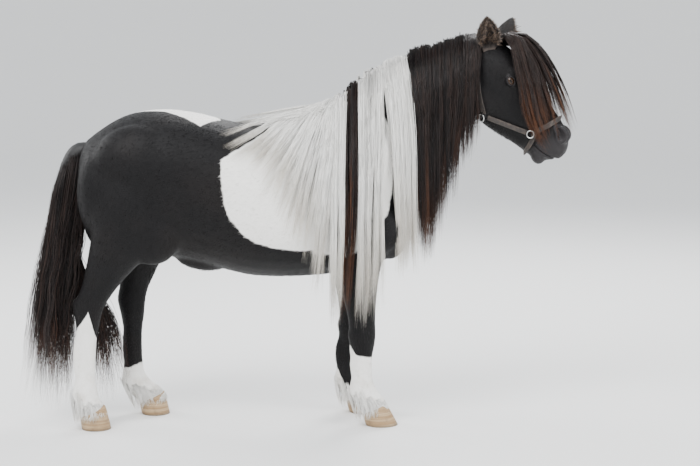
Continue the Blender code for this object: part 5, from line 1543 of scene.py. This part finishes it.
def strap(name, band, closed, shift):
    """A strap with rounded edges and two rows of stitches, by places and normals on the head."""
    rows = [(*p, *n) for p, n in band]
    if closed:
        rows = rows[-3:] + rows + rows[:3]
    fine = np.array(catmull_rom(rows, 5))
    if closed:
        fine = fine[15:-15]
    for _ in range(3):
        inner = (fine[:-2] + fine[1:-1] * 2 + fine[2:]) / 4
        fine[1:-1] = inner
    fine = even(fine, len(fine))
    if closed:
        fine = fine[:-1]
    path = fine[:, :3]
    if closed:
        along = unit(np.roll(path, -1, axis=0) - np.roll(path, 1, axis=0))
    else:
        along = unit(np.gradient(path, axis=0))
    normal = unit(fine[:, 3:] - along * np.sum(fine[:, 3:] * along, axis=1)[:, None])
    across = np.cross(along, normal)
    outline = ((-0.5, -0.30), (-0.44, -0.5), (0.44, -0.5), (0.5, -0.30), (0.5, 0.30),
               (0.44, 0.5), (0.25, 0.53),
               (0.0, 0.56), (-0.25, 0.53), (-0.44, 0.5), (-0.5, 0.30))
    rings = [[Vector(path[i] + across[i] * (a * STRAP_WIDTH) + normal[i] * (b * STRAP_THICK))
              for a, b in outline]
             for i in range(len(path))]
    bm = bmesh.new()
    loops = [[bm.verts.new(p) for p in ring] for ring in rings]
    count = len(loops)
    for i in range(count if closed else count - 1):
        first, second = loops[i], loops[(i + 1) % count]
        for k in range(len(outline)):
            j = (k + 1) % len(outline)
            bm.faces.new((first[k], first[j], second[j], second[k]))
    if not closed:
        bm.faces.new(loops[0])
        bm.faces.new(loops[-1][::-1])
    bmesh.ops.recalc_face_normals(bm, faces=bm.faces)
    piece = object_from(name, bm)
    piece.data.materials.append(leather())
    stitches = []
    length = np.linalg.norm(np.diff(path, axis=0), axis=1).sum()
    spots = even(np.concatenate([path, normal, across, along], axis=1), max(4, int(length / 0.0042)))
    for row in spots[1:-1]:
        for edge in (-0.36, 0.36):
            middle = row[:3] + row[6:9] * edge * STRAP_WIDTH + row[3:6] * STRAP_THICK * 0.51
            stitches.append((middle, row[9:12], row[3:6], row[6:9]))
    points, faces = [], []
    for middle, ahead, out, wide in stitches:
        base = len(points)
        points += [middle - ahead * 0.0015, middle + ahead * 0.0015, middle + out * 0.00045,
                   middle + wide * 0.0004, middle - wide * 0.0004, middle - out * 0.0004]
        faces += [(base + a, base + b, base + c) for a, b, c in
                  ((0, 2, 3), (2, 1, 3), (1, 2, 4), (2, 0, 4), (3, 5, 0), (3, 1, 5), (4, 5, 1), (4, 0, 5))]
    thread = array_mesh(name + "_stitches", np.array(points), np.array(faces), (0, 0, 0))

    def make():
        return {"Base Color": (0.16, 0.13, 0.10, 1), "Roughness": 0.7}
    thread.data.materials.append(material("pony halter thread", make))
    for obj in (piece, thread):
        obj.data.transform(HEAD)
        obj.data.transform(Matrix.Translation(shift))
    return piece, thread


def leather():
    def make():
        place = S.node("ShaderNodeTexCoord", {}, {}, "Object")
        grain = noise(place, 1400.0, 3.0)
        wear = noise(place, 60.0, 4.0)
        colour = mixed(wear.step(0.4, 0.75), (0.022, 0.017, 0.015), (0.060, 0.045, 0.036))
        return {"Base Color": colour, "Roughness": 0.50 + wear * 0.2,
                "Normal": bumped(grain + wear * 0.6, 0.0005, 0.6)}
    return material("pony halter leather", make)


def steel():
    def make():
        place = S.node("ShaderNodeTexCoord", {}, {}, "Object")
        worn = noise(place, 300.0, 3.0)
        return {"Base Color": (0.60, 0.60, 0.58, 1), "Metallic": 1.0, "Roughness": 0.24 + worn * 0.16}
    return material("pony halter metal", make)


def build_halter(shift):
    """The straps and rings of the halter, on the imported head."""
    bm = bmesh.new()
    bm.from_mesh(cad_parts["head"].data)
    bm.transform(HEAD.inverted() @ Matrix.Translation(-Vector(shift)))
    tree = BVHTree.FromBMesh(bm)
    bm.free()
    bands = {}
    band = []
    for k in range(36):
        angle = 2 * math.pi * k / 36
        top, middle, bottom = NOSE_BAND
        level = math.cos(angle)
        x = middle + (top - middle) * level if level > 0 else middle - (bottom - middle) * level
        band.append(around_point(tree, x, -0.045, angle, STRAP_REST))
    bands["halter_noseband"] = band, True
    for name, side in SIDES:
        band = []
        for k in range(10):
            share = 0.050 + 0.880 * k / 9
            x = CHEEK_RING[0] + (SIDE_RING[0] - CHEEK_RING[0]) * share
            z = CHEEK_RING[1] + (SIDE_RING[1] - CHEEK_RING[1]) * share
            band.append(side_point(tree, x, z, side, STRAP_REST))
        bands["halter_side_" + name] = band, False
    crown = []
    for side in (1, -1):
        arm = [side_point(tree, x, z, side, STRAP_REST) for x, z in catmull_rom(CHEEK_PIECE, 4)]
        top = [around_point(tree, -0.012, -0.03, side * math.radians(a), STRAP_REST)
               for a in (62, 47, 31, 15, 0)]
        crown += (arm + top) if side > 0 else (arm + top[:-1])[::-1]
    bands["halter_crown"] = crown, False
    bands["halter_throat"] = [around_point(tree, 0.168, -0.080, math.radians(a), STRAP_REST)
                              for a in range(144, 224, 8)], False
    pieces = []
    for name, (band, closed) in bands.items():
        pieces += [(piece, name) for piece in strap(name + "_strap", band, closed, shift)]
    for name, _ in SIDES:
        for place in ("cheek", "side"):
            node = "halter_ring_" + place + "_" + name
            points = numbers(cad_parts[node].data.vertices, "co", 3)
            middle = points.mean(axis=0)
            normal = np.linalg.svd(points - middle)[2][2]
            pieces.append((torus(node + "_metal", middle, normal), node))
    return pieces


def torus(name, middle, normal):
    """A round metal ring."""
    turn = Vector(normal).to_track_quat("Z", "X").to_matrix()
    bm = bmesh.new()
    loops = []
    for k in range(40):
        angle = 2 * math.pi * k / 40
        out = Vector((math.cos(angle), math.sin(angle), 0))
        loops.append([bm.verts.new(Vector(middle) + turn @ (out * (RING_RADIUS + RING_WIRE * math.cos(s))
                                                            + Vector((0, 0, RING_WIRE * math.sin(s)))))
                      for s in (2 * math.pi * j / 10 for j in range(10))])
    for k in range(40):
        first, second = loops[k], loops[(k + 1) % 40]
        for j in range(10):
            bm.faces.new((first[j], first[(j + 1) % 10], second[(j + 1) % 10], second[j]))
    bmesh.ops.recalc_face_normals(bm, faces=bm.faces)
    ring = object_from(name, bm)
    ring.data.shade_smooth()
    ring.data.materials.append(steel())
    return ring


# The whole pony

HAIR_STEPS = 10


def keep_piece(piece, nodes, slot):
    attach(piece, "root")
    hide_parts(*nodes)


def build_pony():
    shift = packed_shift()
    skin = build_skin()
    unwrap(skin)
    map_of_skin = Unwrap(skin)
    for piece, zone in build_coat(skin, shift, 55000):
        keep_piece(piece, COAT_ZONES[zone][1], "coat")
    skin.data.transform(Matrix.Translation(shift))
    skin.data.materials.append(skin_material(shift))
    keep_piece(skin, ["torso", "neck", "head"] + ["leg_" + k + "_" + s for k in ("fore", "hind")
                                                  for s, _ in SIDES], "coat")

    few = 1.0

    def combed(name, nodes, slot, comb, clear=0.0012):
        hair = Hair(name)
        comb(hair)
        def settled(points):
            """Clear of the skin and above the floor."""
            points = map_of_skin.pushed_out(points, clear)
            points[:, 2] = np.maximum(points[:, 2], 0.002)
            return points

        for piece in hair.pieces(shift, settled):
            keep_piece(piece, nodes, slot)

    # kind of lock, number near and far, how much shorter on the far side
    plans = {"dark": (("dark", 110, 60, 0.55),),
             "white": (("front", 44, 12, 0.72), ("thin", 9, 5, 0.72), ("grey", 9, 5, 0.72),
                       ("middle", 12, 5, 0.72),
                       ("stripe", 9, 5, 0.72), ("rear", 13, 5, 0.72), ("withers", 60, 24, 0.45))}
    for kind, slot in (("dark", "dark_hair"), ("white", "white_hair")):
        for side, prefix in ((-1, "mane_"), (1, "mane_far_")):
            plan = [(row[0], max(2, int(row[1 if side < 0 else 2] * few)), 0.0 if side < 0 else row[3])
                    for row in plans[kind]]
            combed(prefix + kind + "_hair", [prefix + kind], slot,
                   lambda hair: comb_mane(hair, side, map_of_skin, plan, 24))
    combed("forelock_hair", ["forelock"], "brown_hair",
           lambda hair: comb_forelock(hair, map_of_skin, int(96 * few), 20))
    combed("tail_hair", ["tail"], "dark_hair",
           lambda hair: comb_tail(hair, map_of_skin, max(2, int(8 * few)), 12))
    if "tail_front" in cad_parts:
        combed("tail_front_hair", ["tail_front"], "dark_hair",
               lambda hair: comb_tail_front(hair, map_of_skin, max(2, int(10 * few)), 12))
    for kind in ("fore", "hind"):
        for name, side in SIDES:
            combed("feather_" + kind + "_" + name, ["leg_" + kind + "_" + name], "white_hair",
                   lambda hair: comb_feather(hair, kind, name, side, map_of_skin, int(54 * few), 12))
            keep_piece(build_hoof(kind, name, side, shift), ["hoof_" + kind + "_" + name], "horn")

    core = catmull_rom(TAIL_CORE, 4)
    rings = []
    for i, (x, z, radius) in enumerate(core):
        before, after = core[max(i - 1, 0)], core[min(i + 1, len(core) - 1)]
        along = Vector((after[0] - before[0], 0, after[1] - before[1])).normalized()
        out = Vector((along.z, 0, -along.x))
        rings.append([Vector((x, 0, z)) + out * (radius * 0.8 * math.cos(a))
                      + Vector((0, radius * 0.8 * math.sin(a), 0))
                      for a in (2 * math.pi * k / 20 for k in range(20))])
    dock = loft("dock", rings)
    dock.data.shade_smooth()

    def dark():
        return {"Base Color": (*BLACK, 1), "Roughness": 0.6}
    dock.data.materials.append(material("pony dock", dark))
    dock.data.transform(Matrix.Translation(shift))
    keep_piece(dock, ["tail"], "dark_hair")

    for name, side in SIDES:
        for piece in build_ear(name, side, shift, map_of_skin):
            keep_piece(piece, ["ear_" + name], "coat")
        keep_piece(build_eye(name, side, shift), ["eye_" + name], "eye")
        keep_piece(build_lashes(name, side, shift, map_of_skin), ["head"], "coat")
    for piece, node in build_halter(shift):
        keep_piece(piece, [node], "ring_metal" if "ring" in node else "strap")
    return shift


def build_stage(shift):
    """A pale floor, soft lights and the camera at the photo's viewpoint."""
    rings = [(1.0, 0.0), (4.0, 0.0), (9.0, 0.0)]
    rings += [(9.0 + 5.0 * math.sin(a), 5.0 - 5.0 * math.cos(a)) for a in np.linspace(0.1, 1.5708, 12)]
    points, faces = [], [(0, k, k + 1) for k in range(1, 63)]
    for radius, height in rings:
        points += [(radius * math.cos(a), radius * math.sin(a), height)
                   for a in np.linspace(0, 2 * math.pi, 65)[:-1]]
    for row in range(len(rings) - 1):
        for k in range(64):
            a, b = row * 64 + k, row * 64 + (k + 1) % 64
            faces += [(a, b + 64, b), (a, a + 64, b + 64)]
    floor = array_mesh("floor", np.array(points), np.array(faces), (0, 0, 0))

    def make():
        return {"Base Color": (0.80, 0.80, 0.79, 1), "Roughness": 0.9}
    floor.data.materials.append(material("studio floor", make))

    world = bpy.data.worlds.new("studio")
    world.use_nodes = True
    world.node_tree.nodes["Background"].inputs["Color"].default_value = (0.93, 0.96, 1.0, 1)
    world.node_tree.nodes["Background"].inputs["Strength"].default_value = 1.35
    bpy.context.scene.world = world
    target = Vector((0, 0, 0.6))
    for name, place, size, power in (("key", (-1.8, -3.0, 4.4), 2.6, 300),
                                     ("fill", (3.4, -2.6, 2.2), 2.6, 120),
                                     ("rim", (1.2, 3.2, 3.4), 2.2, 190),
                                     ("rim_left", (-3.6, 1.6, 2.4), 1.6, 90)):
        light = bpy.data.lights.new(name, "AREA")
        light.energy, light.size = power, size
        lamp = bpy.data.objects.new(name, light)
        lamp.location = place
        lamp.rotation_euler = (target - Vector(place)).to_track_quat("-Z", "Y").to_euler()
        bpy.context.scene.collection.objects.link(lamp)

    camera = bpy.data.objects.new("camera", bpy.data.cameras.new("camera"))
    camera.data.lens, camera.data.sensor_width = 101.7, 36
    aim = Vector((0.138, 0.0, 0.6)) + shift
    turn = math.radians(-3)
    camera.location = (aim.x + 6.225 * math.sin(turn), shift.y - 6.225 * math.cos(turn), 1.43)
    camera.rotation_euler = (aim - camera.location).to_track_quat("-Z", "Y").to_euler()
    bpy.context.scene.collection.objects.link(camera)
    bpy.context.scene.camera = camera


PLACE = build_pony()
build_stage(PLACE)
